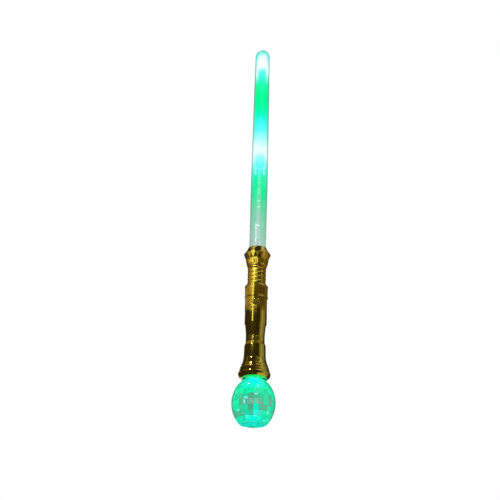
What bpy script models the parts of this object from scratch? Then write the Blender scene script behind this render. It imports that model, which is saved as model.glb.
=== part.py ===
"""Light-up wand: a clear lit blade, a gold handle in two halves and a clear prism ball.

Metres, +Z up. The wand stands on the flat under its ball, at the origin, and its blade points up.
The button faces -Y and the battery door faces +Y.
"""

import math

import bmesh
import bpy
from mathutils import Matrix, Vector

# Ball, from the flat that the wand stands on
BALL_RADIUS = 0.0330
BALL_HALF_HEIGHT = 0.0409
BALL_CENTRE_HEIGHT = 0.0323
BALL_WALL = 0.0032
BALL_FLOOR = 0.0030
BALL_NECK_RADIUS = 0.0128
BALL_NECK_WALL = 0.0020
BALL_FLANGE_RADIUS = 0.0150
BALL_FLANGE_THICKNESS = 0.0020
BALL_TONGUE_WALL = 0.0014
BALL_TONGUE_HEIGHT = 0.0020

# Cup that holds the ball
CUP_OVERLAP = 0.0043
CUP_LENGTH = 0.0350
CUP_LIP_RADIUS = 0.0184
CUP_RIM_RADIUS = 0.0243
CUP_RIM_RISE = 0.0070
CUP_TOP_RADIUS = 0.0169
CUP_WALL = 0.0014
CUP_WEB_RISE = 0.0171
CUP_WEB_THICKNESS = 0.0020

# Handle, section by section from the cup up
NECK_LENGTH = 0.0175
NECK_BOTTOM_RADIUS = 0.0166
NECK_TOP_RADIUS = 0.0161
WAIST_STEP = 0.0046
WAIST_RADIUS = 0.01425
TAPER_LENGTH = 0.0160
TAPER_TOP_RADIUS = 0.0157
LEDGE_HEIGHT = 0.0030
GRIP_LENGTH = 0.0405
GRIP_RADIUS = 0.0168
BARREL_LENGTH = 0.0185
BARREL_RADIUS = 0.0174
BEAD_HEIGHT = 0.0020
BEAD_PROUD = 0.0004
RIB_COUNT = 4
RIB_PITCH = 0.0067
RIB_CREST_RADIUS = 0.0141
RIB_GROOVE_RADIUS = 0.0132
SPIGOT_RADIUS = 0.0127
SPIGOT_LENGTH = 0.0067
WALL = 0.0018
RIB_WALL = 0.0016
SPIGOT_WALL = 0.0013

# Collar, cut like a gem above a plain cuff
CUFF_LENGTH = 0.0128
CUFF_BOTTOM_RADIUS = 0.0142
CUFF_MIDDLE_RADIUS = 0.0160
CUFF_TOP_RADIUS = 0.0172
CUFF_EDGE = 0.0004
PAVILION_HEIGHT = 0.0098
GIRDLE_RADIUS = 0.0205
CROWN_HEIGHT = 0.0106
CROWN_BREAK_RADIUS = 0.0166
COLLAR_TOP_RADIUS = 0.0140
FACET_COUNT = 18

# Blade
BLADE_LENGTH = 0.3335
BLADE_ROOT_RADIUS = 0.0129
BLADE_TIP_RADIUS = 0.0111
BLADE_STRAIGHT = 0.1100
BLADE_TAPER_POWER = 1.3
BLADE_WALL = 0.0013
BLADE_FLANGE_RADIUS = 0.0143
BLADE_FLANGE_THICKNESS = 0.0020
PLUG_LENGTH = 0.0180
PLUG_LEDGE = 0.0010

# LED strip in the blade
STRIP_WIDTH = 0.0060
STRIP_THICKNESS = 0.0010
STRIP_TIP_GAP = 0.0160
STRIP_TAIL = 0.0080
STRIP_LED_SIZE = 0.0050
STRIP_LED_THICKNESS = 0.0016
STRIP_LED_EDGE = 0.0004
STRIP_LED_TIP_DROP = 0.0225
STRIP_LED_BASE_RISE = 0.0150
SPACER_DROP = 0.0290
SPACER_THICKNESS = 0.0025

# Button, switch and control board
BUTTON_RISE = 0.0310
BUTTON_RADIUS = 0.0055
BUTTON_PROUD = 0.0014
BUTTON_CROWN = 0.0013
BUTTON_FLANGE_RADIUS = 0.0066
BUTTON_FLANGE_THICKNESS = 0.0012
BUTTON_TRAVEL = 0.0010
PLUNGER_RADIUS = 0.0016
PLUNGER_PROUD = 0.0018
PLUNGER_DEPTH = 0.0015
SWITCH_SIZE = 0.0064
SWITCH_THICKNESS = 0.0032
BOARD_WIDTH = 0.0170
BOARD_THICKNESS = 0.0012
BOARD_LENGTH = 0.0315
BOARD_REST_INSET = 0.0030
BOARD_REST_EDGE = 0.0025
BOARD_REST_RADIUS = 0.0016
BOARD_FINGER_RADIUS = 0.0020
CHIP_RADIUS = 0.0032
CHIP_HEIGHT = 0.0014
CHIP_DROP = 0.0060

# Battery bay: three AAA cells
CELL_RADIUS = 0.00525
CELL_LENGTH = 0.0445
CELL_NUB_RADIUS = 0.0019
CELL_NUB_HEIGHT = 0.0010
CELL_GAP = 0.0004
SPRING_HEIGHT = 0.0042
SPRING_RADIUS = 0.0030
SPRING_WIRE = 0.0006
SPRING_TURNS = 3
CONTACT_THICKNESS = 0.0005
CONTACT_SIZE = 0.0068
CARRIER_THICKNESS = 0.0020
CARRIER_RISE = 0.0062
BAY_HEADROOM = 0.0025

# Battery door and screws
DOOR_WIDTH = 0.0224
DOOR_BOTTOM_MARGIN = 0.0017
DOOR_TOP_MARGIN = 0.0063
DOOR_LUG_DEPTH = 0.0030
SCREW_RADIUS = 0.0012
SCREW_HEAD_RADIUS = 0.0024
SCREW_HEAD_HEIGHT = 0.0018
SCREW_SINK = 0.0016
SCREW_LENGTH = 0.0180
DOOR_SCREW_LENGTH = 0.0080
DOOR_SCREW_RISE = 0.0025
LOWER_SCREW_RISE = 0.0110
UPPER_SCREW_RISE = 0.0105
POST_RADIUS = 0.0036
SLOT_WIDTH = 0.0007

# LEDs under the cup
LED_BOARD_RADIUS = 0.0142
LED_BOARD_THICKNESS = 0.0012
LED_RADIUS = 0.0025
LED_LENGTH = 0.0060
LED_RING_RADIUS = 0.0055
LED_COUNT = 3

# Wires
WIRE_RADIUS = 0.0006
WIRE_HOLE_RADIUS = 0.0011

# Fits
CLEAR = 0.0003
SEAM = 0.0003

# Facets of round pieces
SHELL_STEPS = 32
BALL_STEPS = 36
PRISM_STEPS = 24
PRISM_RINGS = 14
TUBE_STEPS = 24
SMALL_STEPS = 12

# Heights of the handle's sections
BALL_TOP = BALL_CENTRE_HEIGHT + BALL_HALF_HEIGHT
CUP_BOTTOM = BALL_TOP - CUP_OVERLAP
CUP_TOP = CUP_BOTTOM + CUP_LENGTH
NECK_TOP = CUP_TOP + NECK_LENGTH
WAIST_BOTTOM = NECK_TOP + WAIST_STEP

# Heights of the ball's neck and of the battery bay above it
WEB_BOTTOM = CUP_BOTTOM + CUP_WEB_RISE
WEB_TOP = WEB_BOTTOM + CUP_WEB_THICKNESS
BALL_FLANGE_TOP = WEB_TOP + CLEAR + BALL_FLANGE_THICKNESS
LED_BOARD_BOTTOM = BALL_FLANGE_TOP + CLEAR
SHELL_BOTTOM = LED_BOARD_BOTTOM + LED_BOARD_THICKNESS + CLEAR
CARRIER_BOTTOM = SHELL_BOTTOM + CARRIER_RISE
LOWER_CONTACT = CARRIER_BOTTOM + CARRIER_THICKNESS + CLEAR
CELL_BAY_BOTTOM = LOWER_CONTACT + CONTACT_THICKNESS
CELL_BAY_TOP = CELL_BAY_BOTTOM + CELL_LENGTH + SPRING_HEIGHT + 3 * CLEAR
UPPER_CONTACT = CELL_BAY_TOP
UPPER_CARRIER = UPPER_CONTACT + CONTACT_THICKNESS + CLEAR

# Heights of the handle's sections above the bay, and of the blade
GRIP_BOTTOM = UPPER_CARRIER + CARRIER_THICKNESS + BAY_HEADROOM
TAPER_TOP = GRIP_BOTTOM - LEDGE_HEIGHT
WAIST_TOP = TAPER_TOP - TAPER_LENGTH
GRIP_TOP = GRIP_BOTTOM + GRIP_LENGTH
BARREL_TOP = GRIP_TOP + BARREL_LENGTH
RIBS_TOP = BARREL_TOP + BEAD_HEIGHT + RIB_COUNT * RIB_PITCH
SPIGOT_TOP = RIBS_TOP + SPIGOT_LENGTH
CUFF_TOP = RIBS_TOP + CUFF_LENGTH
GIRDLE = CUFF_TOP + PAVILION_HEIGHT
COLLAR_TOP = GIRDLE + CROWN_HEIGHT
TIP = COLLAR_TOP + BLADE_LENGTH

# Heights of the door, the screws, the board and the strip
DOOR_BOTTOM = CUP_TOP + DOOR_BOTTOM_MARGIN
DOOR_TOP = GRIP_BOTTOM + DOOR_TOP_MARGIN
DOOR_SCREW_HEIGHT = GRIP_BOTTOM + DOOR_SCREW_RISE
LOWER_SCREW_HEIGHT = GRIP_BOTTOM + LOWER_SCREW_RISE
UPPER_SCREW_HEIGHT = GRIP_TOP + UPPER_SCREW_RISE
BUTTON_HEIGHT = GRIP_BOTTOM + BUTTON_RISE
BOARD_BOTTOM = BUTTON_HEIGHT - BOARD_LENGTH / 2
BOARD_TOP = BOARD_BOTTOM + BOARD_LENGTH
PLUG_SEAT = RIBS_TOP + CLEAR
PLUG_BOTTOM = PLUG_SEAT + CLEAR
STRIP_BOTTOM = PLUG_BOTTOM - STRIP_TAIL
STRIP_TOP = TIP - STRIP_TIP_GAP
STRIP_LED_TOP = TIP - STRIP_LED_TIP_DROP
STRIP_LED_PITCH = (STRIP_LED_TOP - COLLAR_TOP - STRIP_LED_BASE_RISE) / 2
SPACER_HEIGHT = STRIP_LED_TOP - STRIP_LED_PITCH - SPACER_DROP
BLADE_BOTTOM = SPIGOT_TOP + CLEAR
BLADE_FLANGE_TOP = BLADE_BOTTOM + BLADE_FLANGE_THICKNESS

# Depths from the axis, along Y, of the button's stack
SWITCH_CLEAR = BUTTON_TRAVEL + CLEAR
FLANGE_FRONT = math.sqrt((GRIP_RADIUS - WALL) ** 2 - BUTTON_FLANGE_RADIUS**2) - CLEAR
FLANGE_BACK = FLANGE_FRONT - BUTTON_FLANGE_THICKNESS
PLUNGER_FRONT = FLANGE_BACK - CLEAR
SWITCH_FRONT = PLUNGER_FRONT - PLUNGER_PROUD
SWITCH_BACK = SWITCH_FRONT - SWITCH_THICKNESS
BOARD_FRONT = SWITCH_BACK - CLEAR
BOARD_BACK = BOARD_FRONT - BOARD_THICKNESS

# The cup's bell shape: share of the height above the rim, and of the swell from top to rim
CUP_FLARE = ((0.86, 0.03), (0.76, 0.12), (0.64, 0.26), (0.50, 0.43), (0.36, 0.62), (0.22, 0.80))

# Places of the three cells around the axis: two at the door, one in front of them
CELL_REACH = (2 * CELL_RADIUS + CELL_GAP) / math.sqrt(3)
CELL_ANGLES = (math.radians(150), math.radians(30), math.radians(270))
CELL_PLACES = [(CELL_REACH * math.cos(a), CELL_REACH * math.sin(a)) for a in CELL_ANGLES]

GOLD = (0.72, 0.50, 0.10)
CLEAR_PLASTIC = (0.62, 0.86, 0.78)
WHITE_PLASTIC = (0.85, 0.86, 0.84)
LED_COLOUR = (0.35, 0.95, 0.75)


def clear_scene():
    for obj in list(bpy.data.objects):
        bpy.data.objects.remove(obj, do_unlink=True)


def collection(name):
    found = bpy.data.collections.new(name)
    bpy.context.scene.collection.children.link(found)
    return found


def material(name, colour, roughness, metallic=0.0, transmission=0.0):
    made = bpy.data.materials.new(name)
    made.use_nodes = True
    shader = made.node_tree.nodes["Principled BSDF"]
    shader.inputs["Base Color"].default_value = (*colour, 1)
    shader.inputs["Roughness"].default_value = roughness
    shader.inputs["Metallic"].default_value = metallic
    shader.inputs["Transmission Weight"].default_value = transmission
    made.diffuse_color = (*colour, 1)
    return made


def add(name, data, finish=None):
    """A visible part where a finish is given, and a cutter or a piece to be joined where none is."""
    obj = bpy.data.objects.new(name, data)
    if finish is None:
        CUTTERS.objects.link(obj)
        obj.hide_render = True
        obj.display_type = "WIRE"
    else:
        WAND.objects.link(obj)
        data.materials.append(material(name, *finish))
    return obj


def round_shading(mesh):
    mesh.shade_smooth()
    mesh.set_sharp_from_angle(angle=math.radians(35))


def turned(name, outline, finish=None, steps=SHELL_STEPS, ring=False):
    """Turns an outline of (radius, height) points round Z. It runs down the outer side first."""
    mesh = bpy.data.meshes.new(name)
    edges = [(i, i + 1) for i in range(len(outline) - 1)]
    if ring:
        edges.append((len(outline) - 1, 0))
    mesh.from_pydata([(r, 0, z) for r, z in outline], edges, [])
    obj = add(name, mesh, finish)
    screw = obj.modifiers.new("Turn", "SCREW")
    screw.axis = "Z"
    screw.steps = steps
    screw.render_steps = steps
    screw.use_merge_vertices = True
    screw.merge_threshold = 0.00001
    screw.use_smooth_shade = True
    return obj


def box(name, low, high, finish=None):
    """A box between two corners, with its mesh at its own centre."""
    low, high = Vector(low), Vector(high)
    mesh = bpy.data.meshes.new(name)
    shape = bmesh.new()
    bmesh.ops.create_cube(shape, size=1, matrix=Matrix.Diagonal((*(high - low), 1)))
    shape.to_mesh(mesh)
    shape.free()
    obj = add(name, mesh, finish)
    obj.location = (low + high) / 2
    return obj


def rod(name, start, end, radius, finish=None, steps=SMALL_STEPS):
    """A cylinder from one point to another."""
    start, end = Vector(start), Vector(end)
    mesh = bpy.data.meshes.new(name)
    shape = bmesh.new()
    bmesh.ops.create_cone(
        shape,
        cap_ends=True,
        segments=steps,
        radius1=radius,
        radius2=radius,
        depth=(end - start).length,
    )
    shape.to_mesh(mesh)
    shape.free()
    round_shading(mesh)
    obj = add(name, mesh, finish)
    obj.rotation_mode = "QUATERNION"
    obj.rotation_quaternion = (end - start).to_track_quat("Z", "Y")
    obj.location = (start + end) / 2
    return obj


def boolean(obj, other, operation):
    made = obj.modifiers.new(other.name, "BOOLEAN")
    made.operation = operation
    made.solver = "EXACT"
    made.object = other


def cut(obj, *others):
    for other in others:
        boolean(obj, other, "DIFFERENCE")


def join(obj, *others):
    for other in others:
        boolean(obj, other, "UNION")


def keep(obj, other):
    boolean(obj, other, "INTERSECT")


def bevelled(obj, width, segments=1):
    bevel = obj.modifiers.new("Edges", "BEVEL")
    bevel.width = width
    bevel.segments = segments
    return obj


def tube(name, points, radius, finish, resolution=2):
    curve = bpy.data.curves.new(name, "CURVE")
    curve.dimensions = "3D"
    curve.bevel_depth = radius
    curve.bevel_resolution = resolution
    curve.use_fill_caps = True
    line = curve.splines.new("POLY")
    line.points.add(len(points) - 1)
    for spot, place in zip(line.points, points):
        spot.co = (*place, 1)
    return add(name, curve, finish)


def smooth_route(stops, count):
    """Points along a smooth curve through the stops, with straight ends."""
    stops = [Vector(stop) for stop in stops]
    ends = [2 * stops[0] - stops[1]] + stops + [2 * stops[-1] - stops[-2]]
    points = []
    for i in range(count):
        along = i / (count - 1) * (len(stops) - 1)
        k = min(int(along), len(stops) - 2)
        t = along - k
        a, b, c, d = ends[k : k + 4]
        points.append(
            0.5 * (2 * b + (c - a) * t + (2 * a - 5 * b + 4 * c - d) * t**2
                   + (3 * b - a - 3 * c + d) * t**3)
        )
    return points


def neck_outline():
    """The handle's outside from the grip's foot down to the cup, top first."""
    half_step = (NECK_TOP + WAIST_BOTTOM) / 2
    half_radius = (NECK_TOP_RADIUS + WAIST_RADIUS) / 2
    return [
        (GRIP_RADIUS, GRIP_BOTTOM),
        (TAPER_TOP_RADIUS, TAPER_TOP),
        (WAIST_RADIUS, WAIST_TOP),
        (WAIST_RADIUS, WAIST_BOTTOM),
        (half_radius, half_step),
        (NECK_TOP_RADIUS, NECK_TOP),
        (NECK_BOTTOM_RADIUS, CUP_TOP + CLEAR),
    ]


def bead(radius, bottom):
    """A raised round ring on a turned outside, top first."""
    return [
        (radius, bottom + BEAD_HEIGHT),
        (radius + BEAD_PROUD, bottom + 0.75 * BEAD_HEIGHT),
        (radius + BEAD_PROUD, bottom + 0.25 * BEAD_HEIGHT),
        (radius, bottom),
    ]


def rib_outline():
    """The ribs under the collar, top first, each a rounded swell between sharp grooves."""
    swell = RIB_CREST_RADIUS - RIB_GROOVE_RADIUS
    points = []
    for rib in range(RIB_COUNT):
        for share in (0, 0.28, 0.72):
            radius = RIB_GROOVE_RADIUS + swell * math.sin(math.pi * share)
            points.append((radius, RIBS_TOP - (rib + share) * RIB_PITCH))
    points.append((RIB_GROOVE_RADIUS, RIBS_TOP - RIB_COUNT * RIB_PITCH))
    return points


def handle_outline():
    """The whole outside of the two handle halves, top first."""
    spigot = CUP_TOP_RADIUS - CUP_WALL - CLEAR
    return (
        [(SPIGOT_RADIUS, SPIGOT_TOP), (SPIGOT_RADIUS, RIBS_TOP)]
        + rib_outline()
        + [(BARREL_RADIUS - BEAD_PROUD, BARREL_TOP + 0.4 * BEAD_HEIGHT)]
        + bead(BARREL_RADIUS, BARREL_TOP - BEAD_HEIGHT)
        + bead(BARREL_RADIUS, GRIP_TOP)
        + [(GRIP_RADIUS, GRIP_TOP - CLEAR)]
        + neck_outline()
        + [(spigot, CUP_TOP + CLEAR), (spigot, SHELL_BOTTOM)]
    )


def handle_bore():
    """The whole inside of the two handle halves, bottom first."""
    spigot = CUP_TOP_RADIUS - CUP_WALL - CLEAR - WALL
    neck = [(radius - WALL, height) for radius, height in reversed(neck_outline()[:-1])]
    return (
        [(spigot, SHELL_BOTTOM), (spigot, CUP_TOP + WALL)]
        + [(NECK_BOTTOM_RADIUS - WALL, CUP_TOP + 2 * WALL)]
        + neck
        + [
            (GRIP_RADIUS - WALL, GRIP_TOP),
            (BARREL_RADIUS - WALL, GRIP_TOP + BEAD_HEIGHT),
            (BARREL_RADIUS - WALL, BARREL_TOP - WALL),
            (RIB_GROOVE_RADIUS - RIB_WALL, BARREL_TOP + BEAD_HEIGHT),
            (RIB_GROOVE_RADIUS - RIB_WALL, PLUG_SEAT - 2 * RIB_WALL),
            (SPIGOT_RADIUS - SPIGOT_WALL - PLUG_LEDGE, PLUG_SEAT - RIB_WALL),
            (SPIGOT_RADIUS - SPIGOT_WALL - PLUG_LEDGE, PLUG_SEAT),
            (SPIGOT_RADIUS - SPIGOT_WALL, PLUG_SEAT),
            (SPIGOT_RADIUS - SPIGOT_WALL, SPIGOT_TOP),
        ]
    )


def bore_radius(height):
    """The handle's inside radius at a height."""
    points = handle_bore()
    for (r0, z0), (r1, z1) in zip(points, points[1:]):
        if z0 <= height <= z1 and z1 > z0:
            return r0 + (r1 - r0) * (height - z0) / (z1 - z0)
    return points[-1][0]


def shell_tube(name, finish=None):
    return turned(name, handle_outline() + handle_bore(), finish, ring=True)


def half_space(name, side):
    """A block that holds everything on one side of the seam, -1 for the front and 1 for the rear."""
    reach = 4 * GIRDLE_RADIUS
    near, far = side * SEAM / 2, side * reach
    return box(
        name,
        (-reach, min(near, far), CUP_BOTTOM - reach),
        (reach, max(near, far), TIP + reach),
    )


def screw_post(name, side, height, radius=POST_RADIUS):
    """The half of a screw post that stands on one shell, with its root in the wall."""
    root = side * (bore_radius(height) + WALL / 2)
    return rod(name, (0, root, height), (0, side * CLEAR, height), radius)


def screw_bore(name, height, depth_from, depth_to):
    return rod(name, (0, depth_from, height), (0, depth_to, height), SCREW_RADIUS + CLEAR)


def head_seat_depth(height):
    """How far from the axis a screw's head rests."""
    return bore_radius(height) + WALL - SCREW_SINK - SCREW_HEAD_HEIGHT


def head_pocket(name, height):
    seat = head_seat_depth(height)
    outside = 2 * GRIP_RADIUS
    return rod(name, (0, seat, height), (0, outside, height), SCREW_HEAD_RADIUS + CLEAR)


def screw(name, height, length):
    """A cross-slot screw that points at -Y, with its head behind the handle's surface."""
    seat = head_seat_depth(height) + CLEAR
    outline = [
        (0, SCREW_HEAD_HEIGHT),
        (0.7 * SCREW_HEAD_RADIUS, SCREW_HEAD_HEIGHT),
        (SCREW_HEAD_RADIUS, 0.5 * SCREW_HEAD_HEIGHT),
        (SCREW_HEAD_RADIUS, 0),
        (SCREW_RADIUS, 0),
        (SCREW_RADIUS, -length),
        (0, -length - SCREW_RADIUS),
    ]
    obj = turned(name, outline, ((0.55, 0.55, 0.57), 0.35, 1.0), SMALL_STEPS)
    obj.location = (0, seat, height)
    obj.rotation_euler = (-math.pi / 2, 0, 0)
    arm = 0.75 * SCREW_HEAD_RADIUS
    depth = 0.5 * SCREW_HEAD_HEIGHT
    top = seat + SCREW_HEAD_HEIGHT
    cut(
        obj,
        box(
            f"{name}_slot_across",
            (-arm, top - depth, height - SLOT_WIDTH / 2),
            (arm, top + depth, height + SLOT_WIDTH / 2),
        ),
        box(
            f"{name}_slot_up",
            (-SLOT_WIDTH / 2, top - depth, height - arm),
            (SLOT_WIDTH / 2, top + depth, height + arm),
        ),
    )
    return obj


def board_rests():
    """Heights at which the shells hold the control board."""
    return (BOARD_BOTTOM + BOARD_REST_INSET, BOARD_TOP - BOARD_REST_INSET)


def front_shell():
    obj = shell_tube("front_shell", (GOLD, 0.16, 1.0))
    keep(obj, half_space("front_half", -1))
    for name, height in (("lower", LOWER_SCREW_HEIGHT), ("upper", UPPER_SCREW_HEIGHT)):
        join(obj, screw_post(f"front_post_{name}", -1, height))
        cut(obj, screw_bore(f"front_bore_{name}", height, -0.6 * GRIP_RADIUS, GRIP_RADIUS))
    root = -(bore_radius(DOOR_SCREW_HEIGHT) + WALL / 2)
    lug = door_lug_depth()
    post_top = lug - CLEAR
    join(
        obj,
        rod(
            "door_post",
            (0, root, DOOR_SCREW_HEIGHT),
            (0, post_top, DOOR_SCREW_HEIGHT),
            POST_RADIUS - CLEAR,
        ),
    )
    cut(
        obj,
        screw_bore(
            "door_post_bore",
            DOOR_SCREW_HEIGHT,
            head_seat_depth(DOOR_SCREW_HEIGHT) - DOOR_SCREW_LENGTH - 2 * SCREW_RADIUS,
            GRIP_RADIUS,
        ),
    )
    for i, height in enumerate(board_rests()):
        for side in (-1, 1):
            across = side * (BOARD_WIDTH / 2 - BOARD_REST_EDGE)
            join(
                obj,
                rod(
                    f"board_rest_{i}_{side}",
                    (across, -(GRIP_RADIUS - WALL), height),
                    (across, -(BOARD_FRONT + CLEAR), height),
                    BOARD_REST_RADIUS,
                ),
            )
    cut(
        obj,
        rod(
            "button_window",
            (0, -2 * GRIP_RADIUS, BUTTON_HEIGHT),
            (0, -FLANGE_FRONT + CLEAR, BUTTON_HEIGHT),
            BUTTON_RADIUS + CLEAR,
            steps=TUBE_STEPS,
        ),
    )
    return obj


def rear_shell():
    obj = shell_tube("rear_shell", (GOLD, 0.16, 1.0))
    keep(obj, half_space("rear_half", 1))
    for name, height in (("lower", LOWER_SCREW_HEIGHT), ("upper", UPPER_SCREW_HEIGHT)):
        join(obj, screw_post(f"rear_post_{name}", 1, height))
        cut(
            obj,
            screw_bore(f"rear_bore_{name}", height, -CLEAR, 2 * GRIP_RADIUS),
            head_pocket(f"head_pocket_{name}", height),
        )
    for i, height in enumerate(board_rests()):
        join(
            obj,
            rod(
                f"board_finger_{i}",
                (0, GRIP_RADIUS - WALL / 2, height),
                (0, -(BOARD_BACK - CLEAR), height),
                BOARD_FINGER_RADIUS,
            ),
        )
    cut(obj, door_space("door_window", 0))
    return obj


def door_space(name, gap):
    """The window in the rear shell, or with a gap the space that the door fills in it."""
    half = DOOR_WIDTH / 2 - gap
    return box(
        name,
        (-half, SEAM + gap, DOOR_BOTTOM + gap),
        (half, 2 * GRIP_RADIUS, DOOR_TOP - gap),
    )


def door_lug_depth():
    return bore_radius(DOOR_SCREW_HEIGHT) - DOOR_LUG_DEPTH


def battery_door():
    obj = shell_tube("battery_door", (GOLD, 0.16, 1.0))
    keep(obj, door_space("door_fill", CLEAR))
    join(
        obj,
        rod(
            "door_lug",
            (0, door_lug_depth(), DOOR_SCREW_HEIGHT),
            (0, bore_radius(DOOR_SCREW_HEIGHT) + WALL / 2, DOOR_SCREW_HEIGHT),
            POST_RADIUS - CLEAR,
        ),
    )
    cut(
        obj,
        screw_bore("door_bore", DOOR_SCREW_HEIGHT, 0, 2 * GRIP_RADIUS),
        head_pocket("door_pocket", DOOR_SCREW_HEIGHT),
    )
    return obj


def facet_ring(shape, radius, height, turn):
    """One ring of a gem's corners. Rings that a facet joins are half a facet apart."""
    step = 2 * math.pi / FACET_COUNT
    return [
        shape.verts.new(
            (
                radius * math.cos((i + turn) * step),
                radius * math.sin((i + turn) * step),
                height,
            )
        )
        for i in range(FACET_COUNT)
    ]


def gem_body():
    """The cut part of the collar: triangular facets lofted between rings of turned corners."""
    levels = (
        (CUFF_TOP_RADIUS - WALL / 2, CUFF_TOP - 0.25 * PAVILION_HEIGHT),
        (CUFF_TOP_RADIUS + WALL / 6, CUFF_TOP + 0.12 * PAVILION_HEIGHT),
        (GIRDLE_RADIUS, GIRDLE),
        (CROWN_BREAK_RADIUS, GIRDLE + 0.52 * CROWN_HEIGHT),
        (COLLAR_TOP_RADIUS, COLLAR_TOP),
    )
    mesh = bpy.data.meshes.new("gem_body")
    shape = bmesh.new()
    rings = [facet_ring(shape, r, z, 0.5 * (k % 2)) for k, (r, z) in enumerate(levels)]
    for k, (lower, upper) in enumerate(zip(rings, rings[1:])):
        shift = k % 2
        for i in range(FACET_COUNT):
            after = (i + 1) % FACET_COUNT
            tip = (i + shift) % FACET_COUNT
            before = (i + shift - 1) % FACET_COUNT
            shape.faces.new((lower[i], lower[after], upper[tip]))
            shape.faces.new((lower[i], upper[tip], upper[before]))
    shape.faces.new(reversed(rings[0]))
    shape.faces.new(rings[-1])
    bmesh.ops.recalc_face_normals(shape, faces=shape.faces)
    shape.to_mesh(mesh)
    shape.free()
    return add("gem_body", mesh)


def blade_collar():
    outline = [
        (0, CUFF_TOP + 0.05 * PAVILION_HEIGHT),
        (CUFF_TOP_RADIUS - CUFF_EDGE, CUFF_TOP + 0.05 * PAVILION_HEIGHT),
        (CUFF_TOP_RADIUS, CUFF_TOP),
        (CUFF_MIDDLE_RADIUS, (CUFF_TOP + RIBS_TOP) / 2),
        (CUFF_BOTTOM_RADIUS, RIBS_TOP + CUFF_LENGTH / 8),
        (CUFF_BOTTOM_RADIUS, RIBS_TOP + CLEAR),
        (0, RIBS_TOP + CLEAR),
    ]
    obj = turned("blade_collar", outline, (GOLD, 0.14, 1.0))
    join(obj, gem_body())
    bore = [
        (0, COLLAR_TOP + CROWN_HEIGHT),
        (BLADE_ROOT_RADIUS + CLEAR, COLLAR_TOP + CROWN_HEIGHT),
        (BLADE_ROOT_RADIUS + CLEAR, BLADE_FLANGE_TOP + CLEAR),
        (BLADE_FLANGE_RADIUS + CLEAR, BLADE_FLANGE_TOP + CLEAR),
        (BLADE_FLANGE_RADIUS + CLEAR, SPIGOT_TOP - CLEAR),
        (SPIGOT_RADIUS + CLEAR, SPIGOT_TOP - CLEAR),
        (SPIGOT_RADIUS + CLEAR, RIBS_TOP - CUFF_LENGTH),
        (0, RIBS_TOP - CUFF_LENGTH),
    ]
    cut(obj, turned("collar_bore", bore))
    return obj


def blade_radius(height):
    """The blade's outside radius: straight at first, then drawn in towards the tip."""
    start = COLLAR_TOP + BLADE_STRAIGHT
    share = max(0, (height - start) / (TIP - BLADE_TIP_RADIUS - start))
    return BLADE_ROOT_RADIUS - (BLADE_ROOT_RADIUS - BLADE_TIP_RADIUS) * share**BLADE_TAPER_POWER


def blade_side(inset):
    """The blade's side and round tip, top first, drawn in by a wall thickness."""
    centre = TIP - BLADE_TIP_RADIUS
    radius = BLADE_TIP_RADIUS - inset
    dome = [
        (radius * math.sin(math.radians(a)), centre + radius * math.cos(math.radians(a)))
        for a in (0, 22.5, 45, 67.5, 90)
    ]
    start = COLLAR_TOP + BLADE_STRAIGHT
    heights = [centre + (start - centre) * k / 5 for k in range(1, 6)]
    return dome + [(blade_radius(z) - inset, z) for z in heights]


def blade_tube():
    outer = blade_side(0) + [
        (BLADE_ROOT_RADIUS, BLADE_FLANGE_TOP),
        (BLADE_FLANGE_RADIUS, BLADE_FLANGE_TOP),
        (BLADE_FLANGE_RADIUS, BLADE_BOTTOM),
    ]
    inner = blade_side(BLADE_WALL) + [(BLADE_ROOT_RADIUS - BLADE_WALL, BLADE_BOTTOM)]
    return turned(
        "blade_tube",
        outer + inner[::-1],
        (CLEAR_PLASTIC, 0.25, 0.0, 0.7),
        TUBE_STEPS,
    )


def strip_slot(name, low, high):
    half_width = STRIP_WIDTH / 2 + CLEAR
    half_depth = STRIP_THICKNESS / 2 + CLEAR
    return box(name, (-half_width, -half_depth, low), (half_width, half_depth, high))


def blade_plug():
    radius = min(SPIGOT_RADIUS - SPIGOT_WALL, BLADE_ROOT_RADIUS - BLADE_WALL) - CLEAR
    top = PLUG_BOTTOM + PLUG_LENGTH
    obj = rod("blade_plug", (0, 0, PLUG_BOTTOM), (0, 0, top), radius, (WHITE_PLASTIC, 0.5), TUBE_STEPS)
    cut(obj, strip_slot("plug_slot", PLUG_BOTTOM - WALL, top + WALL))
    return obj


def blade_strip():
    """The LED strip: its board, its three LEDs and the spacer that centres it."""
    half = STRIP_THICKNESS / 2
    box(
        "strip_board",
        (-STRIP_WIDTH / 2, -half, STRIP_BOTTOM),
        (STRIP_WIDTH / 2, half, STRIP_TOP),
        ((0.80, 0.82, 0.80), 0.5),
    )
    size = STRIP_LED_SIZE / 2
    front = -(half + CLEAR)
    for k, name in enumerate(("tip", "middle", "base")):
        height = STRIP_LED_TOP - k * STRIP_LED_PITCH
        led = box(
            f"strip_led_{name}",
            (-size, front - STRIP_LED_THICKNESS, height - size),
            (size, front, height + size),
            (LED_COLOUR, 0.3),
        )
        bevelled(led, STRIP_LED_EDGE)
    radius = blade_radius(SPACER_HEIGHT) - BLADE_WALL - CLEAR
    low = SPACER_HEIGHT - SPACER_THICKNESS / 2
    high = SPACER_HEIGHT + SPACER_THICKNESS / 2
    spacer = rod(
        "strip_spacer",
        (0, 0, low),
        (0, 0, high),
        radius,
        ((0.85, 0.95, 0.92), 0.2, 0.0, 0.6),
        TUBE_STEPS,
    )
    below, above = low - SPACER_THICKNESS, high + SPACER_THICKNESS
    cut(spacer, strip_slot("spacer_slot", below, above))
    for side in (-1, 1):
        hole = rod(
            f"spacer_hole_{side}",
            (0, side * 0.55 * radius, below),
            (0, side * 0.55 * radius, above),
            0.28 * radius,
        )
        cut(spacer, hole)


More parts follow.
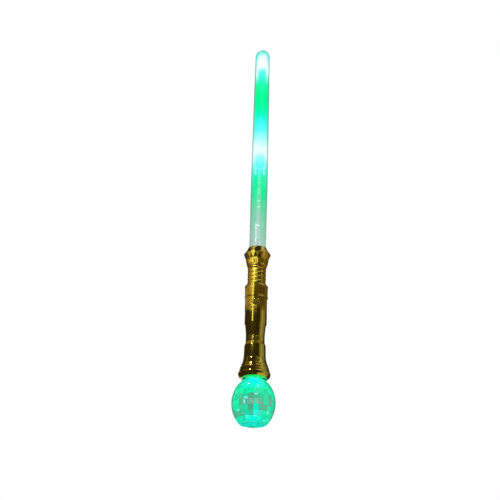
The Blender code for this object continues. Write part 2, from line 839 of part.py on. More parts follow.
def ball_cup():
    """The flared cup: a rounded lip, a bell shape with fine rings and a web that holds the ball."""
    rim = CUP_BOTTOM + CUP_RIM_RISE
    flare = CUP_TOP - rim
    lip_width = CUP_RIM_RADIUS - CUP_LIP_RADIUS
    outline = [(CUP_TOP_RADIUS, CUP_TOP)]
    for share, swell in CUP_FLARE:
        radius = CUP_TOP_RADIUS + (CUP_RIM_RADIUS - CUP_TOP_RADIUS) * swell
        outline.append((radius, rim + share * flare))
    outline += [
        (CUP_RIM_RADIUS - 0.03 * lip_width, rim + 0.07 * flare),
        (CUP_RIM_RADIUS, rim),
        (CUP_RIM_RADIUS - 0.12 * lip_width, rim - 0.35 * CUP_RIM_RISE),
        (CUP_RIM_RADIUS - 0.45 * lip_width, rim - 0.75 * CUP_RIM_RISE),
        (CUP_LIP_RADIUS, CUP_BOTTOM),
        (CUP_LIP_RADIUS, WEB_BOTTOM),
        (BALL_NECK_RADIUS + CLEAR, WEB_BOTTOM),
        (BALL_NECK_RADIUS + CLEAR, WEB_TOP),
        (CUP_TOP_RADIUS - CUP_WALL, WEB_TOP),
        (CUP_TOP_RADIUS - CUP_WALL, CUP_TOP),
    ]
    return turned("ball_cup", outline, (GOLD, 0.15, 1.0), ring=True)


def ball_outside(name, finish):
    """The ball's outer form: an egg with a flat foot and a flanged neck, solid."""
    neck_root = BALL_CENTRE_HEIGHT + BALL_HALF_HEIGHT * math.sqrt(
        1 - (BALL_NECK_RADIUS / BALL_RADIUS) ** 2
    )
    outline = [
        (0, BALL_FLANGE_TOP),
        (BALL_FLANGE_RADIUS, BALL_FLANGE_TOP),
        (BALL_FLANGE_RADIUS, BALL_FLANGE_TOP - BALL_FLANGE_THICKNESS),
        (BALL_NECK_RADIUS, BALL_FLANGE_TOP - BALL_FLANGE_THICKNESS),
    ]
    top_angle = math.asin((neck_root - BALL_CENTRE_HEIGHT) / BALL_HALF_HEIGHT)
    foot_angle = -math.asin(BALL_CENTRE_HEIGHT / BALL_HALF_HEIGHT)
    steps = 14
    for k in range(steps + 1):
        angle = top_angle + (foot_angle - top_angle) * k / steps
        outline.append(
            (
                BALL_RADIUS * math.cos(angle),
                BALL_CENTRE_HEIGHT + BALL_HALF_HEIGHT * math.sin(angle),
            )
        )
    outline.append((0, 0))
    return turned(name, outline, finish, BALL_STEPS)


def prism_hollow(name):
    """The ball's inside, cut in flat square prisms, with the neck's bore above it."""
    mesh = bpy.data.meshes.new(name)
    shape = bmesh.new()
    wide = BALL_RADIUS - BALL_WALL
    tall = BALL_HALF_HEIGHT - BALL_WALL
    centre = Matrix.Translation((0, 0, BALL_CENTRE_HEIGHT))
    bmesh.ops.create_uvsphere(
        shape,
        u_segments=PRISM_STEPS,
        v_segments=PRISM_RINGS,
        radius=1,
        matrix=centre @ Matrix.Diagonal((wide, wide, tall, 1)),
    )
    shape.to_mesh(mesh)
    shape.free()
    obj = add(name, mesh)
    cut(
        obj,
        box(
            f"{name}_floor",
            (-BALL_RADIUS, -BALL_RADIUS, -BALL_HALF_HEIGHT),
            (BALL_RADIUS, BALL_RADIUS, BALL_FLOOR),
        ),
    )
    bore = rod(
        f"{name}_neck",
        (0, 0, BALL_CENTRE_HEIGHT),
        (0, 0, BALL_FLANGE_TOP + BALL_FLANGE_THICKNESS),
        BALL_NECK_RADIUS - BALL_NECK_WALL,
        steps=PRISM_STEPS,
    )
    join(obj, bore)
    return obj


def level_block(name, low, high):
    reach = 2 * BALL_RADIUS
    return box(name, (-reach, -reach, low), (reach, reach, high))


def ball_domes():
    """The two domes, glued at the ball's widest line, where the lower one's tongue enters the upper."""
    finish = (CLEAR_PLASTIC, 0.08, 0.0, 0.85)
    seam_top = BALL_CENTRE_HEIGHT + SEAM / 2
    seam_bottom = BALL_CENTRE_HEIGHT - SEAM / 2
    tongue_radius = BALL_RADIUS - BALL_WALL + BALL_TONGUE_WALL
    tongue_top = BALL_CENTRE_HEIGHT + BALL_TONGUE_HEIGHT

    upper = ball_outside("ball_dome_upper", finish)
    cut(upper, prism_hollow("upper_hollow"))
    keep(upper, level_block("upper_half", seam_top, CUP_TOP))
    groove = rod(
        "tongue_groove",
        (0, 0, BALL_CENTRE_HEIGHT - BALL_WALL),
        (0, 0, tongue_top + CLEAR),
        tongue_radius + CLEAR,
        steps=BALL_STEPS,
    )
    cut(upper, groove)

    lower = ball_outside("ball_dome_lower", finish)
    cut(lower, prism_hollow("lower_hollow"))
    below = level_block("lower_half", -BALL_WALL, seam_bottom)
    tongue = rod(
        "tongue",
        (0, 0, BALL_CENTRE_HEIGHT - BALL_WALL),
        (0, 0, tongue_top),
        tongue_radius,
        steps=BALL_STEPS,
    )
    join(below, tongue)
    keep(lower, below)


def ball_lights():
    """The round LED board over the ball's neck, with LEDs that point down into the ball."""
    top = LED_BOARD_BOTTOM + LED_BOARD_THICKNESS
    laminate = ((0.10, 0.35, 0.18), 0.5)
    rod("ball_led_board", (0, 0, LED_BOARD_BOTTOM), (0, 0, top), LED_BOARD_RADIUS, laminate, TUBE_STEPS)
    outline = [
        (0, 0),
        (1.12 * LED_RADIUS, 0),
        (1.12 * LED_RADIUS, -0.15 * LED_LENGTH),
        (LED_RADIUS, -0.15 * LED_LENGTH),
        (LED_RADIUS, -0.6 * LED_LENGTH),
        (0.85 * LED_RADIUS, -0.8 * LED_LENGTH),
        (0.5 * LED_RADIUS, -0.95 * LED_LENGTH),
        (0, -LED_LENGTH),
    ]
    for k in range(LED_COUNT):
        angle = math.radians(90) + 2 * math.pi * k / LED_COUNT
        led = turned(f"ball_led_{k + 1}", outline, (LED_COLOUR, 0.2), SMALL_STEPS)
        led.location = (
            LED_RING_RADIUS * math.cos(angle),
            LED_RING_RADIUS * math.sin(angle),
            LED_BOARD_BOTTOM - CLEAR,
        )


def button():
    """The push button: a domed cap in its window and the flange that keeps it in the shell."""
    head = GRIP_RADIUS + BUTTON_PROUD - FLANGE_BACK
    flange = BUTTON_FLANGE_THICKNESS
    outline = [
        (0, head),
        (0.55 * BUTTON_RADIUS, head - 0.15 * BUTTON_CROWN),
        (0.85 * BUTTON_RADIUS, head - 0.45 * BUTTON_CROWN),
        (BUTTON_RADIUS, head - BUTTON_CROWN),
        (BUTTON_RADIUS, flange),
        (BUTTON_FLANGE_RADIUS, flange),
        (BUTTON_FLANGE_RADIUS, 0),
        (0, 0),
    ]
    cap = turned("button_cap", outline, (GOLD, 0.2, 1.0), TUBE_STEPS)
    cap.location = (0, -FLANGE_BACK, BUTTON_HEIGHT)
    cap.rotation_euler = (math.pi / 2, 0, 0)


def switch():
    half = SWITCH_SIZE / 2
    body = box(
        "switch_body",
        (-half, -SWITCH_FRONT, BUTTON_HEIGHT - half),
        (half, -SWITCH_BACK, BUTTON_HEIGHT + half),
        ((0.08, 0.08, 0.09), 0.5),
    )
    back = SWITCH_FRONT - PLUNGER_DEPTH
    bore = rod(
        "plunger_bore",
        (0, -(SWITCH_FRONT + WALL), BUTTON_HEIGHT),
        (0, -(back - SWITCH_CLEAR), BUTTON_HEIGHT),
        PLUNGER_RADIUS + CLEAR,
    )
    cut(body, bore)
    rod(
        "switch_plunger",
        (0, -PLUNGER_FRONT, BUTTON_HEIGHT),
        (0, -back, BUTTON_HEIGHT),
        PLUNGER_RADIUS,
        ((0.85, 0.85, 0.85), 0.5),
    )


def control_board():
    half = BOARD_WIDTH / 2
    box(
        "control_board",
        (-half, -BOARD_FRONT, BOARD_BOTTOM),
        (half, -BOARD_BACK, BOARD_TOP),
        ((0.10, 0.35, 0.18), 0.5),
    )
    height = BUTTON_HEIGHT - CHIP_DROP
    near = -(BOARD_BACK - CLEAR)
    outline = [
        (0, CHIP_HEIGHT),
        (0.6 * CHIP_RADIUS, 0.85 * CHIP_HEIGHT),
        (0.9 * CHIP_RADIUS, 0.45 * CHIP_HEIGHT),
        (CHIP_RADIUS, 0),
        (0, 0),
    ]
    chip = turned("control_chip", outline, ((0.02, 0.02, 0.02), 0.4), SMALL_STEPS)
    chip.location = (0, near, height)
    chip.rotation_euler = (-math.pi / 2, 0, 0)


def contact_carrier(name, bottom, holes):
    low, high = bottom, bottom + CARRIER_THICKNESS
    radius = min(bore_radius(low), bore_radius(high)) - CLEAR
    obj = rod(name, (0, 0, low), (0, 0, high), radius, ((0.05, 0.05, 0.05), 0.6), TUBE_STEPS)
    for k, (x, y) in enumerate(holes):
        hole = rod(
            f"{name}_hole_{k}",
            (x, y, low - CARRIER_THICKNESS),
            (x, y, high + CARRIER_THICKNESS),
            WIRE_HOLE_RADIUS,
            steps=8,
        )
        cut(obj, hole)
    return obj


def cells():
    """Cells 1 and 3 stand nub up on their springs, and cell 2 hangs nub down under its own."""
    outline = [
        (0, CELL_LENGTH),
        (CELL_NUB_RADIUS, CELL_LENGTH),
        (CELL_NUB_RADIUS, CELL_LENGTH - CELL_NUB_HEIGHT),
        (0.92 * CELL_RADIUS, CELL_LENGTH - CELL_NUB_HEIGHT),
        (CELL_RADIUS, CELL_LENGTH - 2 * CELL_NUB_HEIGHT),
        (CELL_RADIUS, 0.5 * CELL_NUB_HEIGHT),
        (0.92 * CELL_RADIUS, 0),
        (0, 0),
    ]
    for k, (x, y) in enumerate(CELL_PLACES):
        nub_up = k != 1
        cell = turned(f"battery_{k + 1}", outline, ((0.15, 0.16, 0.18), 0.4, 0.5), 16)
        if nub_up:
            foot = CELL_BAY_TOP - CLEAR - CELL_LENGTH
            spring_foot = CELL_BAY_BOTTOM + CLEAR
        else:
            foot = CELL_BAY_BOTTOM + CLEAR + CELL_LENGTH
            spring_foot = CELL_BAY_TOP - CLEAR - SPRING_HEIGHT
            cell.rotation_euler = (math.pi, 0, 0)
        cell.location = (x, y, foot)
        contact_spring(f"contact_spring_{k + 1}", x, y, spring_foot)


def contact_spring(name, x, y, foot):
    """A coil with its wire's middle kept inside its stated height."""
    low = foot + SPRING_WIRE / 2
    rise = SPRING_HEIGHT - SPRING_WIRE
    count = int(9 * SPRING_TURNS)
    points = []
    for i in range(count + 1):
        share = i / count
        angle = 2 * math.pi * SPRING_TURNS * share
        points.append(
            (
                x + SPRING_RADIUS * math.cos(angle),
                y + SPRING_RADIUS * math.sin(angle),
                low + rise * share,
            )
        )
    return tube(name, points, SPRING_WIRE / 2, ((0.75, 0.75, 0.72), 0.3, 1.0), 1)


def plate(name, first, second, bottom):
    """A contact plate under or over one cell, or a link between two."""
    (x0, y0), (x1, y1) = first, second
    length = math.hypot(x1 - x0, y1 - y0) + CONTACT_SIZE
    half = (length / 2, CONTACT_SIZE / 2, CONTACT_THICKNESS / 2)
    obj = box(name, [-h for h in half], half, ((0.75, 0.75, 0.72), 0.3, 1.0))
    obj.rotation_euler = (0, 0, math.atan2(y1 - y0, x1 - x0))
    obj.location = ((x0 + x1) / 2, (y0 + y1) / 2, bottom + CONTACT_THICKNESS / 2)


def contacts():
    left, right, front = CELL_PLACES
    plate("link_plate_lower", left, right, LOWER_CONTACT)
    plate("contact_negative", front, front, LOWER_CONTACT)
    plate("link_plate_upper", right, front, UPPER_CONTACT)
    plate("contact_positive", left, left, UPPER_CONTACT)


# Where the wires pass the cells and the two carriers
BALL_WIRE_PASS = (0.0104, -0.0012)
SUPPLY_WIRE_PASS = (-0.0092, -0.0044)
BALL_WIRE_FOOT = (0.0086, -0.0008)
SUPPLY_WIRE_SHIFT = 0.0016


def mirrored(points, side):
    return [(side * x, y, z) for x, y, z in points]


def wires():
    """Two wires go up to the blade, two down to the ball and two come from the cells."""
    red, black = (0.45, 0.03, 0.02), (0.02, 0.02, 0.02)
    board_y = -(BOARD_FRONT + BOARD_BACK) / 2
    up = [
        (0.0055, board_y, BOARD_TOP + CLEAR),
        (0.0056, board_y + 0.0003, BOARD_TOP + 0.0030),
        (0.0058, -0.0045, UPPER_SCREW_HEIGHT + 0.0015),
        (0.0048, -0.0020, BARREL_TOP + 0.0040),
        (0.0026, -0.0004, STRIP_BOTTOM - 0.0080),
        (0.0016, 0, STRIP_BOTTOM - 0.0040),
        (0.0016, 0, STRIP_BOTTOM - CLEAR),
    ]
    x, y = BALL_WIRE_PASS
    foot_x, foot_y = BALL_WIRE_FOOT
    led_top = LED_BOARD_BOTTOM + LED_BOARD_THICKNESS
    down = [
        (0.0063, board_y, BOARD_BOTTOM - CLEAR),
        (0.0066, board_y + 0.0004, BOARD_BOTTOM - 0.0030),
        (0.0090, -0.0030, LOWER_SCREW_HEIGHT - 0.0050),
        (x, y, UPPER_CARRIER + 2 * CARRIER_THICKNESS),
        (x, y, UPPER_CARRIER - CARRIER_THICKNESS),
        (x, y, (CELL_BAY_TOP + CELL_BAY_BOTTOM) / 2),
        (x, y, CELL_BAY_BOTTOM + CARRIER_THICKNESS),
        (x, y, CARRIER_BOTTOM - 0.0005),
        (foot_x, foot_y, led_top + 0.0025),
        (foot_x, foot_y, led_top + CLEAR),
    ]
    for side, name, colour in ((-1, "red", red), (1, "black", black)):
        tube(f"blade_wire_{name}", smooth_route(mirrored(up, side), 12), WIRE_RADIUS, (colour, 0.5))
        tube(f"ball_wire_{name}", smooth_route(mirrored(down, side), 20), WIRE_RADIUS, (colour, 0.5))

    x, y = SUPPLY_WIRE_PASS
    front_y = CELL_PLACES[2][1]
    negative = [
        (-0.0080, board_y, BOARD_BOTTOM - CLEAR),
        (-0.0081, board_y, BOARD_BOTTOM - 0.0030),
        (-0.0090, -0.0054, LOWER_SCREW_HEIGHT - 0.0050),
        (x, y, UPPER_CARRIER + 2 * CARRIER_THICKNESS),
        (x, y, UPPER_CARRIER - CARRIER_THICKNESS),
        (x, y, (CELL_BAY_TOP + CELL_BAY_BOTTOM) / 2),
        (x, y, CELL_BAY_BOTTOM + CARRIER_THICKNESS),
        (x, y, CARRIER_BOTTOM + 0.0004),
        (-0.0078, -0.0052, CARRIER_BOTTOM - 0.0020),
        (-0.0034, front_y, CARRIER_BOTTOM - 0.0020),
        (-SUPPLY_WIRE_SHIFT, front_y, CARRIER_BOTTOM),
        (-SUPPLY_WIRE_SHIFT, front_y, LOWER_CONTACT - CLEAR),
    ]
    tube("supply_wire_black", smooth_route(negative, 26), WIRE_RADIUS, (black, 0.5))
    left_x, left_y = CELL_PLACES[0]
    positive = [
        (-0.0046, board_y, BOARD_BOTTOM - CLEAR),
        (-0.0047, board_y + 0.0004, BOARD_BOTTOM - 0.0030),
        (-0.0050, -0.0030, LOWER_SCREW_HEIGHT - 0.0050),
        (left_x, 0.6 * left_y, UPPER_CARRIER + 2 * CARRIER_THICKNESS),
        (left_x, left_y, UPPER_CARRIER + CARRIER_THICKNESS),
        (left_x, left_y, UPPER_CONTACT + CONTACT_THICKNESS + CLEAR),
    ]
    tube("supply_wire_red", smooth_route(positive, 14), WIRE_RADIUS, (red, 0.5))


def carriers():
    x, y = BALL_WIRE_PASS
    passes = [(x, y), (-x, y), SUPPLY_WIRE_PASS]
    below_front_cell = (-SUPPLY_WIRE_SHIFT, CELL_PLACES[2][1])
    contact_carrier("contact_carrier_lower", CARRIER_BOTTOM, passes + [below_front_cell])
    contact_carrier("contact_carrier_upper", UPPER_CARRIER, passes + [CELL_PLACES[0]])


clear_scene()
WAND = collection("light_up_wand")
CUTTERS = collection("cutters")

front_shell()
rear_shell()
battery_door()
screw("door_screw", DOOR_SCREW_HEIGHT, DOOR_SCREW_LENGTH)
screw("shell_screw_lower", LOWER_SCREW_HEIGHT, SCREW_LENGTH)
screw("shell_screw_upper", UPPER_SCREW_HEIGHT, SCREW_LENGTH)
blade_collar()
blade_tube()
blade_plug()
blade_strip()
ball_cup()
ball_domes()
ball_lights()
button()
switch()
control_board()
carriers()
contacts()
cells()
wires()
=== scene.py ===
# Light-up wand: a lit clear blade, a bright gold handle and a prism ball that glows green.

import math
import random

import bmesh
import bpy
from mathutils import Matrix, Quaternion, Vector


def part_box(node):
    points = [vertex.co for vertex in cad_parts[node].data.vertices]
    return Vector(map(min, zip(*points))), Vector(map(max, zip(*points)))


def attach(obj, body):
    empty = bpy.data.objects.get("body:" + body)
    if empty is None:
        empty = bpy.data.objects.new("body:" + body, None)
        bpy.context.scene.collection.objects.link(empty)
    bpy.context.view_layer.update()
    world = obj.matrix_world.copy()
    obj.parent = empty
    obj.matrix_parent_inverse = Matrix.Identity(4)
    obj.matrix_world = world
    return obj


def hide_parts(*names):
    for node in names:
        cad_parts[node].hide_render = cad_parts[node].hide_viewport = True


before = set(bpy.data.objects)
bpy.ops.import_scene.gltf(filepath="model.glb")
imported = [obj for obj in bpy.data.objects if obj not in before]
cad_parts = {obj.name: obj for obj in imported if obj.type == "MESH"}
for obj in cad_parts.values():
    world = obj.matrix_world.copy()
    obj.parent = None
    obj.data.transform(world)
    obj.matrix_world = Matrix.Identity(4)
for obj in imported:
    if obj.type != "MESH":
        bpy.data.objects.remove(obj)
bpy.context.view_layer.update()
print("frame loaded")


def looseObject(name, data):
    obj = bpy.data.objects.new(name, data)
    bpy.context.scene.collection.objects.link(obj)
    return obj


# camera, low in front of the wand and looking up along it

cameraSetup = {
    "place": (0, -2.810, -0.7456),
    "target": (0, 0, 0.305),
    "aimLeft": 0.0115,
    "aimDown": 0.0287,
    "roll": 1.62,
    "lens": 140.98,
    "sensor": 36,
    "clipEnd": 50,
}


def makeCamera(s):
    data = bpy.data.cameras.new("photoCamera")
    data.lens = s["lens"]
    data.sensor_width = s["sensor"]
    data.clip_end = s["clipEnd"]
    camera = looseObject("photoCamera", data)
    place, target = Vector(s["place"]), Vector(s["target"])
    forward = (target - place).normalized()
    right = forward.cross(Vector((0, 0, 1))).normalized()
    up = right.cross(forward)
    aim = target - right * s["aimLeft"] - up * s["aimDown"]
    turn = (aim - place).to_track_quat("-Z", "Y")
    roll = Quaternion((0, 0, 1), math.radians(s["roll"]))
    camera.location = place
    camera.rotation_euler = (turn @ roll).to_euler()
    bpy.context.scene.camera = camera


makeCamera(cameraSetup)
print("camera set")


# small helpers for nodes

def feed(tree, node, values):
    # numbers and colours are set on their sockets, and outputs are linked to them
    for key, value in values.items():
        socket = node.inputs[key]
        if isinstance(value, bpy.types.NodeSocket):
            tree.links.new(value, socket)
        elif isinstance(value, tuple) and socket.type == "RGBA":
            socket.default_value = (*value, 1)
        elif value is not None:
            socket.default_value = value


def addNode(tree, kind, values=None, **options):
    node = tree.nodes.new("ShaderNode" + kind)
    for key, value in options.items():
        setattr(node, key, value)
    feed(tree, node, values or {})
    return node


def newMaterial(name):
    material = bpy.data.materials.new(name)
    material.use_nodes = True
    tree = material.node_tree
    return material, tree, tree.nodes["Principled BSDF"]


def mathNode(tree, operation, first, second, clamp=False):
    node = addNode(tree, "Math", {0: first, 1: second}, operation=operation, use_clamp=clamp)
    return node.outputs["Value"]


def mapRange(tree, value, fromLow, fromHigh, toLow=0.0, toHigh=1.0, smooth=False):
    ends = {"From Min": fromLow, "From Max": fromHigh, "To Min": toLow, "To Max": toHigh}
    node = addNode(tree, "MapRange", {"Value": value, **ends},
                   interpolation_type="SMOOTHSTEP" if smooth else "LINEAR")
    return node.outputs["Result"]


def mixColour(tree, factor, first, second):
    node = addNode(tree, "Mix", {0: factor, 6: first, 7: second}, data_type="RGBA")
    return node.outputs[2]


def colourRamp(tree, share, stops):
    node = addNode(tree, "ValToRGB", {"Fac": share})
    elements = node.color_ramp.elements
    elements.remove(elements[-1])
    for k, (place, colour) in enumerate(stops):
        element = elements[0] if k == 0 else elements.new(place)
        element.position = place
        element.color = (*colour, 1)
    return node.outputs["Color"]


def valueRamp(tree, share, stops):
    grey = colourRamp(tree, share, [(place, (value,) * 3) for place, value in stops])
    return addNode(tree, "RGBToBW", {"Color": grey}).outputs["Val"]


def objectPlace(tree):
    return addNode(tree, "TexCoord").outputs["Object"]


def axesOf(tree, where):
    return addNode(tree, "SeparateXYZ", {"Vector": where}).outputs


def lengthOf(tree, vector):
    return addNode(tree, "VectorMath", {0: vector}, operation="LENGTH").outputs["Value"]


def noise(tree, where, scale, detail=2.0):
    node = addNode(tree, "TexNoise", {"Vector": where, "Scale": scale, "Detail": detail})
    return node.outputs["Fac"]


def bumpNormal(tree, height):
    node = addNode(tree, "Bump", {"Height": height, "Strength": 1.0, "Distance": 1.0})
    return node.outputs["Normal"]


def shareOf(s, height):
    return (height - s["low"]) / (s["high"] - s["low"])


# finishes

goldSettings = {
    "deep": (0.78, 0.54, 0.045),
    "bright": (0.90, 0.73, 0.072),
    "roughness": (0.07, 0.15),
    "patchScale": 42,
    "peelScale": 620,
    "peelDepth": 0.00003,
    "waveScale": 95,
    "waveDepth": 0.00022,
}


def goldFinish(name, s):
    material, tree, shader = newMaterial(name)
    where = objectPlace(tree)
    patches = noise(tree, where, s["patchScale"], 3)
    peel = mathNode(tree, "MULTIPLY", noise(tree, where, s["peelScale"]), s["peelDepth"])
    wave = mathNode(tree, "MULTIPLY", noise(tree, where, s["waveScale"], 1), s["waveDepth"])
    feed(tree, shader, {
        "Base Color": mixColour(tree, patches, s["deep"], s["bright"]),
        "Roughness": mapRange(tree, patches, 0.3, 0.7, *s["roughness"]),
        "Normal": bumpNormal(tree, mathNode(tree, "ADD", peel, wave)),
        "Metallic": 1.0, "Coat Weight": 0.25, "Coat Roughness": 0.06,
    })
    return material


def plainFinish(name, colour, second, roughness, scale=500, depth=0.00001, metallic=0.0,
                glow=((1, 1, 1), 0.0), coat=(0.0, 0.03)):
    material, tree, shader = newMaterial(name)
    grain = noise(tree, objectPlace(tree), scale, 3)
    feed(tree, shader, {
        "Base Color": mixColour(tree, grain, colour, second),
        "Roughness": mapRange(tree, grain, 0.3, 0.7, roughness * 0.8, roughness * 1.2),
        "Normal": bumpNormal(tree, mathNode(tree, "MULTIPLY", grain, depth)),
        "Metallic": metallic,
        "Emission Color": glow[0], "Emission Strength": glow[1],
        "Coat Weight": coat[0], "Coat Roughness": coat[1],
    })
    return material


gold = goldFinish("brightGold", goldSettings)
steel = plainFinish("zincSteel", (0.50, 0.50, 0.52), (0.62, 0.62, 0.63), 0.30, 900, metallic=1.0)
nickel = plainFinish("nickelPlate", (0.66, 0.65, 0.60), (0.78, 0.77, 0.72), 0.25, metallic=1.0)


# round shapes

def roundPoint(radius, angle, height=0.0):
    return Vector((radius * math.cos(angle), radius * math.sin(angle), height))


def frontPoint(turn, reach, height):
    # turn is in degrees to the right of the front
    angle = math.radians(turn)
    return Vector((reach * math.sin(angle), -reach * math.cos(angle), height))


def endMesh(name, shape, outward=False):
    if outward:
        bmesh.ops.recalc_face_normals(shape, faces=shape.faces)
    mesh = bpy.data.meshes.new(name)
    shape.to_mesh(mesh)
    shape.free()
    return mesh


def closedMesh(name, shape, rings):
    shape.faces.new(reversed(rings[0]))
    shape.faces.new(rings[-1])
    return endMesh(name, shape, True)


def turnInto(shape, profile, steps, ring=False):
    rows = []
    for radius, height in profile:
        rows.append([shape.verts.new(roundPoint(radius, 2 * math.pi * i / steps, height))
                     for i in range(steps if radius > 0 else 1)])
    after = rows[1:] + rows[:1] if ring else rows[1:]
    for upper, lower in zip(rows, after):
        for i in range(steps):
            j = (i + 1) % steps
            corners = (upper[i % len(upper)], lower[i % len(lower)],
                       lower[j % len(lower)], upper[j % len(upper)])
            shape.faces.new(dict.fromkeys(corners))


def turnedMesh(name, profile, steps=96, ring=False):
    shape = bmesh.new()
    turnInto(shape, profile, steps, ring)
    return endMesh(name, shape, True)


def boxMesh(name, low, high):
    shape = bmesh.new()
    low, high = Vector(low), Vector(high)
    place = Matrix.Translation((low + high) / 2) @ Matrix.Diagonal((*(high - low), 1))
    bmesh.ops.create_cube(shape, size=1, matrix=place)
    return endMesh(name, shape)


def joinMeshes(name, meshes):
    shape = bmesh.new()
    for mesh in meshes:
        shape.from_mesh(mesh)
        bpy.data.meshes.remove(mesh)
    return endMesh(name, shape)


def smoothLine(points, perSpan=6):
    ends = [points[0], *points, points[-1]]
    line = []
    for k in range(len(points) - 1):
        a, b, c, d = (Vector(p) for p in ends[k:k + 4])
        for i in range(perSpan):
            t = i / perSpan
            spot = 0.5 * (2 * b + (c - a) * t + (2 * a - 5 * b + 4 * c - d) * t**2
                          + (3 * b - a - 3 * c + d) * t**3)
            line.append(tuple(spot))
    return line + [tuple(points[-1])]


def splitFine(line, rings):
    # more points on a side where fine rings are to be raised
    fine = []
    for (r0, z0), (r1, z1) in zip(line, line[1:]):
        ringed = min(z0, z1) < max(rings["heights"]) + rings["reach"]
        count = max(1, round(abs(z1 - z0) / (rings["reach"] / 3))) if ringed else 1
        fine += [(r0 + (r1 - r0) * k / count, z0 + (z1 - z0) * k / count) for k in range(count)]
    return fine + [line[-1]]


def raiseRings(line, rings):
    raised = []
    for radius, height in line:
        away = min(abs(height - ring) for ring in rings["heights"]) / rings["reach"]
        raised.append((radius + rings["proud"] * max(0, 1 - away ** 2), height))
    return raised


def settle(obj):
    deps = bpy.context.evaluated_depsgraph_get()
    mesh = bpy.data.meshes.new_from_object(obj.evaluated_get(deps))
    obj.modifiers.clear()
    mesh.name = obj.data.name
    obj.data = mesh


def shapeWith(obj, mesh, operation):
    cutter = looseObject("cutter", mesh)
    change = obj.modifiers.new("change", "BOOLEAN")
    change.operation = operation
    change.solver = "EXACT"
    change.object = cutter
    settle(obj)
    bpy.data.objects.remove(cutter, do_unlink=True)


def soften(obj, width, segments, angle):
    bevel = obj.modifiers.new("edges", "BEVEL")
    bevel.width = width
    bevel.segments = segments
    bevel.limit_method = "ANGLE"
    bevel.angle_limit = math.radians(angle)
    settle(obj)


def finishPiece(obj, finish, body, nodes=(), sharp=35):
    mesh = obj.data
    for each in finish if isinstance(finish, list) else [finish]:
        mesh.materials.append(each)
    mesh.shade_smooth()
    mesh.set_sharp_from_angle(angle=math.radians(sharp))
    obj.modifiers.new("evenShade", "WEIGHTED_NORMAL").keep_sharp = True
    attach(obj, body)
    if nodes:
        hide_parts(*nodes)


# handle: two halves with four ribs, a banded barrel, a grip, a waist and a neck

handle = {
    "parting": 0.00003,
    "gap": 0.0003,
    "wall": 0.0018,
    # outside, from the top down: radius, height
    "spigot": ((0.0127, 0.2505), (0.0127, 0.2438)),
    "ribs": {"top": 0.2438, "count": 4, "pitch": 0.0067, "crest": 0.0141, "depth": 0.00048,
             "steps": 10, "fullness": 0.9},
    "shoulder": ((0.0163, 0.2168), (0.0170, 0.2158)),
    "beads": {"radius": 0.0174, "bottoms": (0.2130, 0.1965), "height": 0.0020, "proud": 0.0004,
              "steps": 6},
    "gripTop": (0.0168, 0.1962),
    "ledge": ((0.0168, 0.1560), (0.0166, 0.1551), (0.0158, 0.1536), (0.0157, 0.1530)),
    "taper": ((0.0157, 0.1530), (0.0149, 0.1450), (0.01433, 0.1370), (0.01425, 0.1315),
              (0.01425, 0.1260)),
    "step": ((0.01425, 0.1260), (0.015175, 0.1237), (0.0161, 0.1214)),
    "waistRings": {"heights": (0.1334, 0.1308, 0.1282, 0.1256), "reach": 0.0008, "proud": 0.00018},
    "neck": ((0.0161, 0.1214), (0.01645, 0.1128), (0.0166, 0.1046), (0.0163, 0.1042)),
    "foot": ((0.0152, 0.1042), (0.0152, 0.0921)),
    # inside, from the foot up
    "inside": (
        (0.0134, 0.0921), (0.0134, 0.1057), (0.0148, 0.1075), (0.0143, 0.1214), (0.01245, 0.1260),
        (0.01245, 0.1370), (0.0139, 0.1530), (0.0150, 0.1560), (0.0150, 0.1965), (0.0156, 0.1985),
        (0.0156, 0.2132), (0.0116, 0.2170), (0.0116, 0.2409), (0.0104, 0.2425), (0.0104, 0.2441),
        (0.0114, 0.2441), (0.0114, 0.2505),
    ),
    "postRadius": 0.0036,
    "screwHeights": (0.1670, 0.2070),
    "doorScrewHeight": 0.1585,
    "screwHole": 0.0015,
    "boreFront": -0.0101,
    "doorBoreDepth": 0.0104,
    "windowBack": -0.0134,
    "far": 0.04,
    "edge": 0.00012,
    "steps": 128,
}

button = {
    "height": 0.1870,
    "radius": 0.0055,
    "flangeRadius": 0.0066,
    "flangeThickness": 0.0012,
    "back": -0.0122,
    "front": -0.0182,
    "crown": 0.0013,
    "dish": 0.0004,
    # of the face, from its middle out: share of the radius, of the dish, of the crown
    "face": ((0, 1, 0), (0.45, 0.8, 0), (0.70, 0, 0.15), (0.90, 0, 0.45), (1, 0, 1)),
}

door = {"width": 0.0224, "bottom": 0.1056, "top": 0.1623, "lugDepth": 0.0030, "edge": 0.00015}

screws = {
    "radius": 0.0012,
    "headRadius": 0.0024,
    "headHeight": 0.0018,
    "sink": 0.0016,
    "slot": 0.0007,
    "pitch": 0.0008,
    # of the cross slot: share of the head's radius, share of its height
    "slotArm": 0.68,
    "slotFloor": 0.45,
    # of the head: share of its radius, share of its height
    "dome": ((0, 1), (0.55, 0.98), (0.80, 0.86), (0.96, 0.55), (1, 0.15), (0.97, 0)),
    # of the thread: share of the radius, share of the pitch
    "thread": ((1, 0.25), (0.82, 0.6), (1, 1)),
    "point": 0.9,
}


def ribProfile(s):
    root = s["crest"] - s["depth"]
    points = []
    for k in range(s["count"] * s["steps"]):
        swell = math.sin(math.pi * (k % s["steps"]) / s["steps"]) ** s["fullness"]
        points.append((root + s["depth"] * swell, s["top"] - k * s["pitch"] / s["steps"]))
    return points + [(root, s["top"] - s["count"] * s["pitch"])]


def beadProfile(bottom, s):
    angles = [math.pi * i / s["steps"] for i in range(s["steps"] + 1)]
    middle, half = bottom + s["height"] / 2, s["height"] / 2
    return [(s["radius"] + s["proud"] * math.sin(a), middle + half * math.cos(a)) for a in angles]


